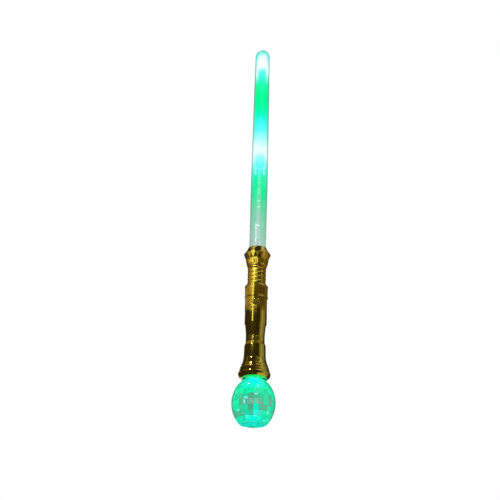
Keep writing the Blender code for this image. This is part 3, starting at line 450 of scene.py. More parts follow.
def handleTube(name, s):
    waist = smoothLine(s["taper"], 5)[1:] + smoothLine(s["step"], 5)[1:]
    profile = [
        *s["spigot"], *ribProfile(s["ribs"]), *s["shoulder"],
        *(point for bottom in s["beads"]["bottoms"] for point in beadProfile(bottom, s["beads"])),
        s["gripTop"], *smoothLine(s["ledge"], 3),
        *raiseRings(splitFine(waist, s["waistRings"]), s["waistRings"]),
        *smoothLine(s["neck"], 4)[1:], *s["foot"], *s["inside"],
    ]
    return looseObject(name, turnedMesh(name, profile, s["steps"], True))


def insideRadius(height):
    points = handle["inside"]
    for (r0, z0), (r1, z1) in zip(points, points[1:]):
        if z0 <= height < z1:
            return r0 + (r1 - r0) * (height - z0) / (z1 - z0)


def wallMiddle(height):
    return insideRadius(height) + handle["wall"] / 2


def seatDepth(height):
    return insideRadius(height) + handle["wall"] - screws["sink"] - screws["headHeight"]


def rod(obj, operation, height, start, end, radius, steps=32):
    # adds or takes away a round rod that runs from front to back
    start, end = Vector((0, start, height)), Vector((0, end, height))
    turn = (end - start).to_track_quat("Z", "Y").to_matrix().to_4x4()
    place = Matrix.Translation((start + end) / 2) @ turn
    shape = bmesh.new()
    bmesh.ops.create_cone(shape, cap_ends=True, segments=steps, radius1=radius, radius2=radius,
                          depth=(end - start).length, matrix=place)
    shapeWith(obj, endMesh("rod", shape), operation)


def headPocket(obj, height):
    radius = screws["headRadius"] + handle["gap"]
    rod(obj, "DIFFERENCE", height, seatDepth(height), handle["far"], radius, 48)


def halfTube(name, side, s):
    # side is -1 for the front half and 1 for the rear one
    obj = handleTube(name, s)
    near, far = sorted((side * s["parting"] / 2, side * 2 * s["far"]))
    shapeWith(obj, boxMesh("half", (-2 * s["far"], near, 0), (2 * s["far"], far, 0.7)), "INTERSECT")
    for height in s["screwHeights"]:
        rod(obj, "UNION", height, side * wallMiddle(height), side * s["gap"], s["postRadius"])
    return obj


def doorBlock(gap):
    half = door["width"] / 2 - gap
    return boxMesh("doorSpace", (-half, handle["gap"] + gap, door["bottom"] + gap),
                   (half, handle["far"], door["top"] - gap))


def makeFrontShell(s):
    obj = halfTube("frontShell", -1, s)
    for height in s["screwHeights"]:
        rod(obj, "DIFFERENCE", height, s["boreFront"], s["far"], s["screwHole"])
    height = s["doorScrewHeight"]
    top = insideRadius(height) - door["lugDepth"] - s["gap"]
    rod(obj, "UNION", height, -wallMiddle(height), top, s["postRadius"] - s["gap"])
    rod(obj, "DIFFERENCE", height, seatDepth(height) - s["doorBoreDepth"], s["far"], s["screwHole"])
    window = button["radius"] + s["gap"]
    rod(obj, "DIFFERENCE", button["height"], -s["far"], s["windowBack"], window, 64)
    soften(obj, s["edge"], 2, 50)
    finishPiece(obj, gold, "handle", ["front_shell"])


def makeRearShell(s):
    obj = halfTube("rearShell", 1, s)
    for height in s["screwHeights"]:
        rod(obj, "DIFFERENCE", height, -0.001, s["far"], s["screwHole"])
        headPocket(obj, height)
    shapeWith(obj, doorBlock(0), "DIFFERENCE")
    soften(obj, s["edge"], 2, 50)
    finishPiece(obj, gold, "handle", ["rear_shell"])


def makeDoor(s):
    obj = handleTube("batteryDoor", handle)
    shapeWith(obj, doorBlock(handle["gap"]), "INTERSECT")
    height = handle["doorScrewHeight"]
    rod(obj, "UNION", height, insideRadius(height) - s["lugDepth"], wallMiddle(height),
        handle["postRadius"] - handle["gap"])
    rod(obj, "DIFFERENCE", height, 0, handle["far"], handle["screwHole"])
    headPocket(obj, height)
    soften(obj, s["edge"], 2, 50)
    finishPiece(obj, gold, "battery_door", ["battery_door"])


makeFrontShell(handle)
makeRearShell(handle)
makeDoor(door)
print("handle built")


# collar, cut like a gem above a plain cuff

collar = {
    "facets": 18,
    # rings, from the foot up: radius, height, turn in steps, depth of the valleys between petals
    "petals": (
        (0.0142, 0.2441, 0.0, 0.0), (0.0142, 0.2453, 0.0, 0.00002),
        (0.0151, 0.2473, 0.0, 0.00012), (0.0160, 0.2502, 0.5, 0.00032),
        (0.0169, 0.2540, 0.5, 0.00040), (0.0174, 0.2568, 0.0, 0.00022),
    ),
    "gem": (
        (0.0163, 0.25415, 0.0, 0.0), (0.0175, 0.25778, 0.5, 0.0), (0.0205, 0.2664, 0.0, 0.0),
        (0.0166, 0.27191, 0.5, 0.0), (0.0140, 0.2770, 0.0, 0.0),
    ),
    # hole for the spigot, the blade's flange and the blade, from the top down
    "bore": (
        (0, 0.29), (0.0132, 0.29), (0.0132, 0.2531), (0.0146, 0.2531), (0.0146, 0.2502),
        (0.0130, 0.2502), (0.0130, 0.22), (0, 0.22),
    ),
    "boreSteps": 72,
    # edges over this many degrees stay sharp
    "sharp": 4,
}


def facetRings(shape, rows, count):
    rings = []
    for radius, height, turn, relief in rows:
        angles = [2 * math.pi * (i + turn) / count for i in range(count)]
        rings.append([shape.verts.new(roundPoint(radius - relief * (i % 2), angle, height))
                      for i, angle in enumerate(angles)])
    return rings


def gemMesh(s):
    shape = bmesh.new()
    count = s["facets"]
    rings = facetRings(shape, s["gem"], count)
    for k, (lower, upper) in enumerate(zip(rings, rings[1:])):
        for i in range(count):
            after, tip, before = ((i + n) % count for n in (1, k % 2, k % 2 - 1))
            shape.faces.new((lower[i], lower[after], upper[tip]))
            shape.faces.new((lower[i], upper[tip], upper[before]))
    return closedMesh("gem", shape, rings)


def petalMesh(s):
    # the cuff, cut in slim petals that meet in ridges
    shape = bmesh.new()
    count = 4 * s["facets"]
    rings = facetRings(shape, s["petals"], count)
    for lower, upper in zip(rings, rings[1:]):
        for i in range(count):
            j = (i + 1) % count
            shape.faces.new((lower[i], lower[j], upper[j]))
            shape.faces.new((lower[i], upper[j], upper[i]))
    return closedMesh("petals", shape, rings)


def makeCollar(s):
    obj = looseObject("gemCollar", petalMesh(s))
    shapeWith(obj, gemMesh(s), "UNION")
    shapeWith(obj, turnedMesh("bore", s["bore"], s["boreSteps"]), "DIFFERENCE")
    soften(obj, handle["edge"], 1, 12)
    finishPiece(obj, gold, "handle", ["blade_collar"], s["sharp"])


makeCollar(collar)


# cup that holds the ball, flared like a bell

cup = {
    "flare": (
        (0.0169, 0.1039), (0.0171, 0.0999), (0.0178, 0.0971), (0.0189, 0.0938), (0.0201, 0.0899),
        (0.0215, 0.0860), (0.0228, 0.0821), (0.0237, 0.0790), (0.0241, 0.0779), (0.0243, 0.0759),
    ),
    "rings": {"heights": (0.0988, 0.0903, 0.0861, 0.0772), "reach": 0.0010, "proud": 0.00040},
    "rim": ((0.0243, 0.0759), (0.0236, 0.07345), (0.0216, 0.07065), (0.0184, 0.0689)),
    # web over the ball's neck and the room above it, from the lip up
    "inside": (
        (0.0184, 0.0860), (0.0131, 0.0860), (0.0131, 0.0880), (0.0155, 0.0880), (0.0155, 0.1039),
    ),
    "steps": 128,
    # the ball's light painted on the lip as a glow: its colour, and where it fades outward and
    # upward
    "light": (0.0, 0.30, 0.19),
    "lightOut": (0.0188, 0.0216),
    "lightUp": (0.0715, 0.0745),
}


# gold whose lip has the ball's green light painted on it as a glow
def lipPaintedGlowFinish(name, s):
    material = goldFinish(name, goldSettings)
    tree = material.node_tree
    where = objectPlace(tree)
    flat = addNode(tree, "VectorMath", {0: where, 1: (1, 1, 0)}, operation="MULTIPLY")
    near = mapRange(tree, lengthOf(tree, flat.outputs["Vector"]), *s["lightOut"], 1, 0, True)
    low = mapRange(tree, axesOf(tree, where)["Z"], *s["lightUp"], 1, 0, True)
    feed(tree, tree.nodes["Principled BSDF"], {
        "Emission Color": s["light"], "Emission Strength": mathNode(tree, "MULTIPLY", near, low),
    })
    return material


def makeCup(s):
    profile = raiseRings(smoothLine(s["flare"], 8), s["rings"]) + smoothLine(s["rim"], 6)[1:]
    mesh = turnedMesh("ballCup", [*profile, *s["inside"]], s["steps"], True)
    obj = looseObject("ballCup", mesh)
    finishPiece(obj, lipPaintedGlowFinish("lipGoldPaintedGlow", s), "handle", ["ball_cup"])


makeCup(cup)
print("collar and cup built")


# push button, screws

# turns for shapes that are made upright
toFront = Matrix.Rotation(math.pi / 2, 4, "X")
toBack = Matrix.Rotation(-math.pi / 2, 4, "X")


def makeButton(s):
    depth = s["back"] - s["front"]
    radius, flange, thick = s["radius"], s["flangeRadius"], s["flangeThickness"]
    profile = smoothLine([(share * radius, depth - sunk * s["dish"] - fall * s["crown"])
                          for share, sunk, fall in s["face"]])
    profile += [(radius, thick), (flange, thick), (flange, 0), (0, 0)]
    mesh = turnedMesh("pushButton", profile, 72)
    mesh.transform(Matrix.Translation((0, s["back"], s["height"])) @ toFront)
    finishPiece(looseObject("pushButton", mesh), gold, "button", ["button_cap"])


def makeScrew(name, node, height, length, body, s):
    head, radius, pitch = s["headHeight"], s["radius"], s["pitch"]
    profile = [(across * s["headRadius"], up * head) for across, up in s["dome"]] + [(radius, 0)]
    depth = 0
    while depth < length - pitch:
        profile += [(share * radius, -depth - part * pitch) for share, part in s["thread"]]
        depth += pitch
    profile += [(s["point"] * radius, -length), (0, -length - radius)]
    obj = looseObject(name, turnedMesh(name, profile, 36))
    arm, slot = s["slotArm"] * s["headRadius"], s["slot"] / 2
    for x, y in ((arm, slot), (slot, arm)):
        cutter = boxMesh("slot", (-x, -y, s["slotFloor"] * head), (x, y, 2 * head))
        shapeWith(obj, cutter, "DIFFERENCE")
    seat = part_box(node)[1].y - head
    obj.data.transform(Matrix.Translation((0, seat, height)) @ toBack)
    finishPiece(obj, steel, body, [node])


makeButton(button)
lowScrew, highScrew = handle["screwHeights"]
makeScrew("doorScrew", "door_screw", handle["doorScrewHeight"], 0.0080, "door_screw", screws)
makeScrew("lowerShellScrew", "shell_screw_lower", lowScrew, 0.0180, "handle", screws)
makeScrew("upperShellScrew", "shell_screw_upper", highScrew, 0.0180, "handle", screws)
print("button and screws built")


# blade: a clear tube, straight and then drawn in towards its round tip

bladeGlow = {
    "low": 0.2500,
    "high": 0.6105,
    # height and colour from the collar to the tip: of the lit middle, beside it, and at the rim
    "middle": (
        (0.279, 0.27, 0.46, 0.40), (0.300, 0.18, 0.47, 0.35), (0.330, 0.09, 0.53, 0.31),
        (0.345, 0.03, 0.62, 0.28), (0.360, 0.00, 0.71, 0.28), (0.378, 0.00, 0.80, 0.32),
        (0.390, 0.00, 0.86, 0.42), (0.401, 0.01, 0.90, 0.64), (0.409, 0.05, 0.95, 0.90),
        (0.424, 0.28, 0.95, 0.93), (0.431, 0.72, 0.98, 0.97), (0.440, 0.72, 0.98, 0.97),
        (0.452, 0.42, 0.98, 0.95), (0.470, 0.09, 0.97, 0.93), (0.488, 0.02, 0.97, 0.78),
        (0.494, 0.00, 0.96, 0.55), (0.505, 0.00, 0.94, 0.36), (0.528, 0.00, 0.93, 0.26),
        (0.548, 0.01, 0.94, 0.40), (0.558, 0.03, 0.95, 0.62), (0.568, 0.08, 0.93, 0.80),
        (0.573, 0.30, 0.95, 0.90), (0.577, 0.92, 1.00, 1.00), (0.594, 0.92, 1.00, 1.00),
        (0.600, 0.40, 0.93, 0.88), (0.606, 0.12, 0.80, 0.72),
    ),
    "side": (
        (0.279, 0.24, 0.46, 0.39), (0.300, 0.17, 0.46, 0.34), (0.330, 0.08, 0.52, 0.30),
        (0.360, 0.00, 0.72, 0.28), (0.378, 0.00, 0.80, 0.33), (0.395, 0.01, 0.84, 0.50),
        (0.404, 0.08, 0.90, 0.75), (0.415, 0.30, 0.92, 0.88), (0.425, 0.70, 0.96, 0.93),
        (0.440, 0.80, 0.97, 0.95), (0.455, 0.35, 0.92, 0.85), (0.470, 0.09, 0.90, 0.80),
        (0.488, 0.02, 0.90, 0.60), (0.505, 0.00, 0.88, 0.36), (0.528, 0.00, 0.86, 0.24),
        (0.548, 0.01, 0.88, 0.34), (0.556, 0.20, 0.93, 0.66), (0.565, 0.62, 0.98, 0.92),
        (0.577, 0.80, 1.00, 0.96), (0.586, 0.60, 0.96, 0.90), (0.596, 0.25, 0.86, 0.78),
        (0.605, 0.12, 0.78, 0.68),
    ),
    "rim": (
        (0.279, 0.30, 0.42, 0.38), (0.330, 0.18, 0.40, 0.29), (0.360, 0.08, 0.42, 0.28),
        (0.390, 0.10, 0.50, 0.38), (0.430, 0.40, 0.58, 0.54), (0.455, 0.20, 0.50, 0.42),
        (0.530, 0.05, 0.42, 0.25), (0.575, 0.15, 0.50, 0.42), (0.605, 0.08, 0.55, 0.45),
    ),
    # how solid the wall looks, from the collar to the tip, and how much more so at the rim
    "solid": (
        (0.279, 0.36), (0.320, 0.39), (0.345, 0.46), (0.360, 0.55), (0.372, 0.64), (0.390, 0.70),
        (0.400, 0.70), (0.416, 0.74), (0.432, 0.88), (0.605, 0.90),
    ),
    "rimSolid": 0.25,
    # how far the wall turns away where the middle passes into the side, and that into the rim
    "toSide": (0.12, 0.36),
    "toRim": (0.36, 0.70),
    # below the white band the painted glow is a little greener on the right side than on the left
    "rightTint": (0.0, 0.74, 0.22),
    "rightShare": 0.20,
    "toRight": (-0.008, 0.010),
    "toBand": (0.400, 0.430),
    "unlit": (0.0, 0.02, 0.015),
    "mottleScale": 120,
    "mottle": (0.90, 1.06),
    "waveScale": 380,
    "waveDepth": 0.00001,
}

tube = {
    # where it starts to narrow, and the centre of its round tip
    "start": 0.3870,
    "centre": 0.5994,
    "rootRadius": 0.0129,
    "tipRadius": 0.0111,
    "power": 1.3,
    "wall": 0.0013,
    # radius, foot and top of the flange at the root
    "flange": (0.0143, 0.2508, 0.2528),
}


# the light of the lights inside is painted on the tube as a glow, by height and by how far the wall
# turns away
def bladePaintedGlowFinish(name, s):
    material, tree, shader = newMaterial(name)
    where = objectPlace(tree)
    axes = axesOf(tree, where)
    along = mapRange(tree, axes["Z"], s["low"], s["high"])
    middle, side, rim = (
        colourRamp(tree, along, [(shareOf(s, height), colour) for height, *colour in s[part]])
        for part in ("middle", "side", "rim")
    )
    facing = addNode(tree, "LayerWeight", {"Blend": 0.5}).outputs["Facing"]
    edge = mapRange(tree, facing, *s["toRim"], 0, 1, True)
    lit = mixColour(tree, mapRange(tree, facing, *s["toSide"], 0, 1, True), middle, side)
    right = mapRange(tree, axes["X"], *s["toRight"], 0, s["rightShare"])
    below = mapRange(tree, axes["Z"], *s["toBand"], 1, 0)
    lit = mixColour(tree, mathNode(tree, "MULTIPLY", right, below), lit, s["rightTint"])
    glow = mixColour(tree, edge, lit, rim)
    atRim = mathNode(tree, "MULTIPLY", edge, s["rimSolid"])
    mottle = noise(tree, where, s["mottleScale"], 3)
    wave = mathNode(tree, "MULTIPLY", noise(tree, where, s["waveScale"]), s["waveDepth"])
    solid = valueRamp(tree, along, [(shareOf(s, height), value) for height, value in s["solid"]])
    feed(tree, shader, {
        "Base Color": mixColour(tree, 0.90, glow, s["unlit"]),
        "Emission Color": glow,
        "Emission Strength": mapRange(tree, mottle, 0.25, 0.75, *s["mottle"]),
        "Alpha": mathNode(tree, "ADD", solid, atRim, True),
        "Normal": bumpNormal(tree, wave),
        "Roughness": 0.22, "Specular IOR Level": 0.0, "Coat Weight": 0.8, "Coat Roughness": 0.03,
    })
    return material


def tubeSide(s, inset):
    # the domed tip and the side under it, down to where the tube is straight
    dome = [(math.sin(math.radians(a)), math.cos(math.radians(a))) for a in range(0, 91, 6)]
    tip = s["tipRadius"] - inset
    line = [(tip * x, s["centre"] + tip * y) for x, y in dome]
    for k in range(1, 17):
        share = 1 - k / 16
        radius = s["rootRadius"] - (s["rootRadius"] - s["tipRadius"]) * share ** s["power"]
        line.append((radius - inset, s["start"] + (s["centre"] - s["start"]) * share))
    return line


def makeBlade(s):
    radius, low, high = s["flange"]
    outside = tubeSide(s, 0) + [(s["rootRadius"], high), (radius, high), (radius, low)]
    inside = tubeSide(s, s["wall"]) + [(s["rootRadius"] - s["wall"], low)]
    obj = looseObject("bladeTube", turnedMesh("bladeTube", outside + inside[::-1]))
    finish = bladePaintedGlowFinish("litBladePlastic", bladeGlow)
    finishPiece(obj, finish, "handle", ["blade_tube"])


makeBlade(tube)


# small parts on the strip: solder pads, a resistor under each light, and the spacer's snap legs

strip = {
    "face": -0.0005,
    "pads": (0.3147, 0.3454, 0.3553, 0.3696, 0.3745, 0.3860, 0.3990, 0.4080, 0.4230, 0.4530, 0.4680,
             0.4830, 0.4980, 0.5130, 0.5280, 0.5430, 0.5580, 0.5700),
    "padProfile": ((0, 0.0006), (0.000585, 0.00051), (0.00104, 0.0003), (0.0013, 0), (0, 0)),
    "resistor": (0.0016, 0.0008, 0.0005),
    "resistorDrop": 0.0046,
    "legTop": 0.4100,
    "legAngles": (-42, 42, 180),
    "legReach": 0.0096,
    "beads": (0.4062, 0.3982),
    "beadRadius": 0.0016,
    "beadTall": 1.2,
    "stemRadius": 0.0005,
}

# solder pads painted with a glow, as bright spots of light
solderPaintedGlow = plainFinish("solderPaintedGlow", (0.80, 0.86, 0.84), (0.92, 0.96, 0.94), 0.3, 900,
                           glow=((0.80, 1.0, 0.92), 1.7))
# the spacer's legs are painted with a strong glow, as glints of the light inside the tube
spacerLegGlintFinish = plainFinish("spacerLegsPaintedGlint", (0.6, 1.0, 0.95), (0.8, 1.0, 0.98), 0.2,
                      glow=((0.35, 1.0, 0.95), 10.0))
resistorBlack = plainFinish("resistorBlack", (0.03, 0.03, 0.03), (0.05, 0.05, 0.05), 0.4,
                            300, 0.00002)


def finishParts(name, meshes, finish):
    finishPiece(looseObject(name, joinMeshes(name, meshes)), finish, "handle")


def makePads(s):
    pads = []
    for height in s["pads"]:
        mesh = turnedMesh("pad", s["padProfile"], 16)
        mesh.transform(Matrix.Translation((0, s["face"], height)) @ toFront)
        pads.append(mesh)
    finishParts("stripPads", pads, solderPaintedGlow)


def makeResistors(s):
    blocks = []
    width, tall, thick = (v / 2 for v in s["resistor"])
    for node in ("strip_led_base", "strip_led_middle", "strip_led_tip"):
        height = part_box(node)[0].z - s["resistorDrop"]
        blocks.append(boxMesh("block", (-width, s["face"] - 2 * thick, height - tall),
                              (width, s["face"], height + tall)))
    obj = looseObject("stripResistors", joinMeshes("stripResistors", blocks))
    soften(obj, handle["edge"], 2, 30)
    finishPiece(obj, resistorBlack, "handle")


def makeSpacerLegs(s):
    # each leg has two rounded beads, painted with a strong glow as bright spots of light
    stem, bead = s["stemRadius"], s["beadRadius"]
    angles = [math.pi * k / 8 for k in range(1, 8)]
    profile = [(0, s["legTop"]), (stem, s["legTop"])]
    for height in s["beads"]:
        profile += [(max(stem, bead * math.sin(a)), height + s["beadTall"] * bead * math.cos(a))
                    for a in angles]
    profile.append((0, s["beads"][-1] - s["beadTall"] * bead))
    legs = [turnedMesh("leg", profile, 16) for _ in s["legAngles"]]
    for mesh, turn in zip(legs, s["legAngles"]):
        mesh.transform(Matrix.Translation(frontPoint(turn, s["legReach"], 0)))
    finishParts("spacerLegs", legs, spacerLegGlintFinish)


makePads(strip)
makeResistors(strip)
makeSpacerLegs(strip)
print("blade built")


# ball: a polished outside over an inside cut in small square prisms

ball = {
    "radius": 0.0330,
    "halfHeight": 0.0409,
    "centre": 0.0323,
    "wall": 0.0032,
    "floor": 0.0030,
    # width and height of the slope round the flat foot
    "footEdge": (0.0006, 0.0004),
    "neckRadius": 0.0128,
    "neckWall": 0.0020,
    "flange": (0.0150, 0.0883, 0.0903),
    "seam": 0.0003,
    "steps": 96,
    "spans": 24,
    "around": 24,
    "rows": 14,
    "bevel": 0.0007,
    "least": 0.0005,
    "floorSplit": 0.55,
    # rings of a prism: share of the way to its middle, share of its height
    "rings": ((0, 0), (0.13, 0.9), (0.62, 1.0)),
    # its brightness below, right, above and left, and on top: painted shade by which way each side
    # faces
    "paintedSideShades": (0.70, 0.95, 1.25, 1.0),
    "paintedTopShade": 1.04,
    "seed": 7,
    "glints": 0.16,
    "shellTint": (0.3, 0.8, 0.6),
}

ballGlow = {
    "clear": (0.62, 1.0, 0.96),
    "shine": (0.35, 1.0, 0.85),
    "glass": 1.46,
    "waveScale": 70,
    "waveDepth": 0.00005,
    "grainScale": 260,
    "ownLight": 0.78,
    "unlit": (0.0, 0.03, 0.02),
    "lit": (0.003, 0.78, 0.38),
    "cyan": (0.000, 0.98, 0.82),
    "grey": (0.12, 0.40, 0.26),
    "pale": (0.24, 0.46, 0.36),
    "glint": (0.30, 1.0, 0.88),
    # a prism's share of grey: least, how much more, how rare that is
    "greyRange": (0.02, 0.36, 1.5),
    # directions of the three lights, in degrees to the right of the front
    "beams": (0, 120, 240),
    "beamWidth": 32,
    # greyer band under each light: foot and top, as shares of the half height up from the
    # centre, how far it reaches to each side in degrees, and how far both wander
    "band": (-0.42, 0.22),
    "bandReach": 47,
    "bandWander": 0.10,
    "reachWander": 22,
    "greyShare": 0.80,
    # single grey prisms below the band, down to this height: how likely, how grey
    "greyFoot": -0.60,
    "greyBelow": (0.5, 0.75),
    # painted cyan glow under the neck, in the beams low down, and round the foot
    "neckStart": 0.34,
    "neckFade": 0.34,
    "underGlow": -0.30,
    "underFade": 0.22,
    "underShare": 0.80,
    "footTop": -0.56,
    # of a prism: least, how much more
    "brightness": (0.86, 0.28),
}


def shellFinish(name, s):
    material, tree, shader = newMaterial(name)
    swell = noise(tree, objectPlace(tree), s["waveScale"], 1)
    wave = mathNode(tree, "MULTIPLY", swell, s["waveDepth"])
    feed(tree, shader, {
        "Base Color": s["clear"], "Specular Tint": s["shine"], "IOR": s["glass"],
        "Transmission Weight": 1.0, "Roughness": 0.02, "Normal": bumpNormal(tree, wave),
    })
    return material


# the light of the three lights inside is painted on the prisms as their glow, in the colours
# written to each prism
def prismPaintedGlowFinish(name, s):
    material, tree, shader = newMaterial(name)
    paintedLight = addNode(tree, "Attribute", attribute_name="facetPaintedLight").outputs["Color"]
    grain = noise(tree, objectPlace(tree), s["grainScale"])
    feed(tree, shader, {
        "Base Color": mixColour(tree, 0.65, paintedLight, s["unlit"]),
        "Emission Color": paintedLight, "Emission Strength": s["ownLight"],
        "Roughness": mapRange(tree, grain, 0.3, 0.7, 0.08, 0.25),
        "Specular IOR Level": 0.0,
    })
    return material


def limited(share):
    return min(1.0, max(0.0, share))


def blend(first, second, share):
    return Vector(first).lerp(Vector(second), limited(share))


def angleBetween(one, other):
    return abs((one - other + 180) % 360 - 180)


def facetColour(centre, chance, s, g):
    height = (centre.z - s["centre"]) / s["halfHeight"]
    turn = math.degrees(math.atan2(centre.x, -centre.y))
    nearest = min(angleBetween(turn, beam) for beam in g["beams"])
    beam = math.exp(-(nearest / g["beamWidth"]) ** 2)
    least, more, rarity = g["greyRange"]
    colour = blend(g["lit"], g["grey"], least + more * chance.random() ** rarity)
    low, high = g["band"]
    wander = g["bandWander"] * (chance.random() - 0.5)
    inBand = (low + wander < height < high + wander
              and nearest < g["bandReach"] + g["reachWander"] * (chance.random() - 0.5))
    if inBand and chance.random() < g["greyShare"]:
        full = blend(g["grey"], g["pale"], 1.6 * chance.random() - 0.5)
        colour = blend(colour, full, 1.1 - 0.5 * chance.random())
    elif g["greyFoot"] < height <= low and chance.random() < g["greyBelow"][0]:
        colour = blend(colour, g["grey"], g["greyBelow"][1])
    # cyan glow painted under the neck, in the beams low down, and round the foot
    neck = max(0.0, (height - g["neckStart"]) / g["neckFade"])
    share = neck * (0.25 + 0.9 * beam) + 0.2 * (chance.random() - 0.5) * neck
    colour = blend(colour, g["cyan"], share)
    under = limited((g["underGlow"] + 3 * wander - height) / g["underFade"])
    colour = blend(colour, g["cyan"], g["underShare"] * under * beam ** 1.6)
    if height < g["footTop"]:
        across = math.hypot(centre.x, centre.y) / s["radius"]
        share = 1.0 - 1.3 * across + 0.6 * beam * (chance.random() - 0.2)
        colour = blend(colour, g["cyan"], share)
    least, more = g["brightness"]
    return colour * (least + more * chance.random())


def tintFace(face, colour, layer, index=1):
    face.material_index = index
    for loop in face.loops:
        loop[layer] = (*colour, 1)


def prismPatch(shape, corners, up, s, chance, layer):
    middle = sum((Vector(c) for c in corners), Vector()) / 4
    lift = up(middle) * s["bevel"]
    rings = [[shape.verts.new(Vector(c).lerp(middle, inset) + lift * rise) for c in corners]
             for inset, rise in s["rings"]]
    colour = facetColour(middle, chance, s, ballGlow)
    # some prisms get one side painted bright as a glint
    glint = chance.choice((0, 1, 2, 3)) if chance.random() < s["glints"] else None
    # the top and the outer sides of each prism are painted lighter or darker by which way they face
    tintFace(shape.faces.new(rings[2]), colour * s["paintedTopShade"], layer)
    for k, (outer, inner) in enumerate(zip(rings, rings[1:])):
        for i in range(4):
            j = (i + 1) % 4
            side = shape.faces.new((outer[i], outer[j], inner[j], inner[i]))
            paintedLight = colour * (s["paintedSideShades"][i] if k == 0 else 1.0)
            tintFace(side, ballGlow["glint"] if k == 1 and i == glint else paintedLight, layer)


def domeOutline(s, upper):
    seam = math.asin(s["seam"] / 2 / s["halfHeight"])
    if upper:
        start, end = math.acos(s["neckRadius"] / s["radius"]), seam
    else:
        start, end = -seam, -math.asin(s["centre"] / s["halfHeight"])
    angles = [start + (end - start) * k / s["spans"] for k in range(s["spans"] + 1)]
    line = [(s["radius"] * math.cos(a), s["centre"] + s["halfHeight"] * math.sin(a))
            for a in angles]
    if upper:
        radius, low, high = s["flange"]
        return [(s["neckRadius"] - s["neckWall"], high), (radius, high), (radius, low),
                (s["neckRadius"], low), *line]
    edge = line.pop()[0]
    width, height = s["footEdge"]
    return [*line, (edge, height), (edge - width, 0), (0, 0)]


def makeDome(name, node, s, upper):
    chance = random.Random(s["seed"] + upper)
    shape = bmesh.new()
    layer = shape.loops.layers.float_color.new("facetPaintedLight")
    turnInto(shape, domeOutline(s, upper), s["steps"])
    for face in shape.faces:
        tintFace(face, s["shellTint"], layer, 0)
    wide, tall = s["radius"] - s["wall"], s["halfHeight"] - s["wall"]
    bore = s["neckRadius"] - s["neckWall"] if upper else 0
    columns = [[2 * math.pi * n / s["around"] for n in (i, i + 1)] for i in range(s["around"])]

    def inward(point):
        rise = (point.z - s["centre"]) / tall ** 2
        return -Vector((point.x / wide ** 2, point.y / wide ** 2, rise)).normalized()

    def upward(point):
        return Vector((0, 0, 1))

    for row in range(s["rows"] // 2):
        k = row + upper * s["rows"] // 2
        low, high = (-math.pi / 2 + math.pi * n / s["rows"] for n in (k, k + 1))
        for a, b in columns:
            corners = [roundPoint(max(wide * math.cos(along), bore), turn,
                                  max(s["centre"] + tall * math.sin(along), s["floor"]))
                       for along, turn in ((low, a), (low, b), (high, b), (high, a))]
            if min((corners[0] - corners[n]).length for n in (1, 3)) >= s["least"]:
                prismPatch(shape, corners, inward, s, chance, layer)
    if upper:
        root, top = s["centre"] + tall * math.sqrt(1 - (bore / wide) ** 2), s["flange"][2]
        for a, b in columns:
            corners = [shape.verts.new(roundPoint(bore, turn, height))
                       for turn, height in ((a, root), (b, root), (b, top), (a, top))]
            tintFace(shape.faces.new(corners), s["shellTint"], layer, 0)
    else:
        radius = wide * math.cos(math.asin((s["floor"] - s["centre"]) / tall))
        centre = Vector((0, 0, s["floor"]))
        for turns in columns:
            one, two = (roundPoint(radius, turn, s["floor"]) for turn in turns)
            near, beside = (point.lerp(centre, s["floorSplit"]) for point in (one, two))
            prismPatch(shape, [near, beside, two, one], upward, s, chance, layer)
            middle = shape.faces.new([shape.verts.new(point) for point in (centre, near, beside)])
            tintFace(middle, facetColour(centre, chance, s, ballGlow), layer)
    obj = looseObject(name, endMesh(name, shape))
    finishPiece(obj, ballFinishes, "handle", [node], 25)


ballFinishes = [shellFinish("clearBallPlastic", ballGlow), prismPaintedGlowFinish("prismFacets", ballGlow)]
makeDome("ballDomeUpper", "ball_dome_upper", ball, 1)
makeDome("ballDomeLower", "ball_dome_lower", ball, 0)
print("ball built")


# cells with rolled ends and a plain sleeve, and the coil springs under them

cell = {
    "radius": 0.00525,
    "length": 0.0445,
    # radius and height of the nub, foot and top of the sleeve
    "nub": (0.0019, 0.0010),
    "capRise": 0.0003,
    "sleeve": (0.0007, 0.0418),
    "sleeveDepth": 0.00007,
    "band": 0.0080,
    "steps": 64,
}

spring = {"radius": 0.0030, "wire": 0.0006, "sides": 10, "turns": 4, "stepsPerTurn": 28,
          "closed": 0.13}

# bright ends, dark sleeve, and the lighter band near the raised end
cellFinishes = [
    nickel,
    plainFinish("cellSleeve", (0.035, 0.040, 0.050), (0.060, 0.066, 0.080), 0.28, 900, 0.000006,
                0.35, coat=(0.5, 0.08)),
    plainFinish("cellBand", (0.62, 0.42, 0.16), (0.72, 0.50, 0.20), 0.26, 900, 0.000006, 0.6),
]


def middleOf(low, high):
    return (low.x + high.x) / 2, (low.y + high.y) / 2


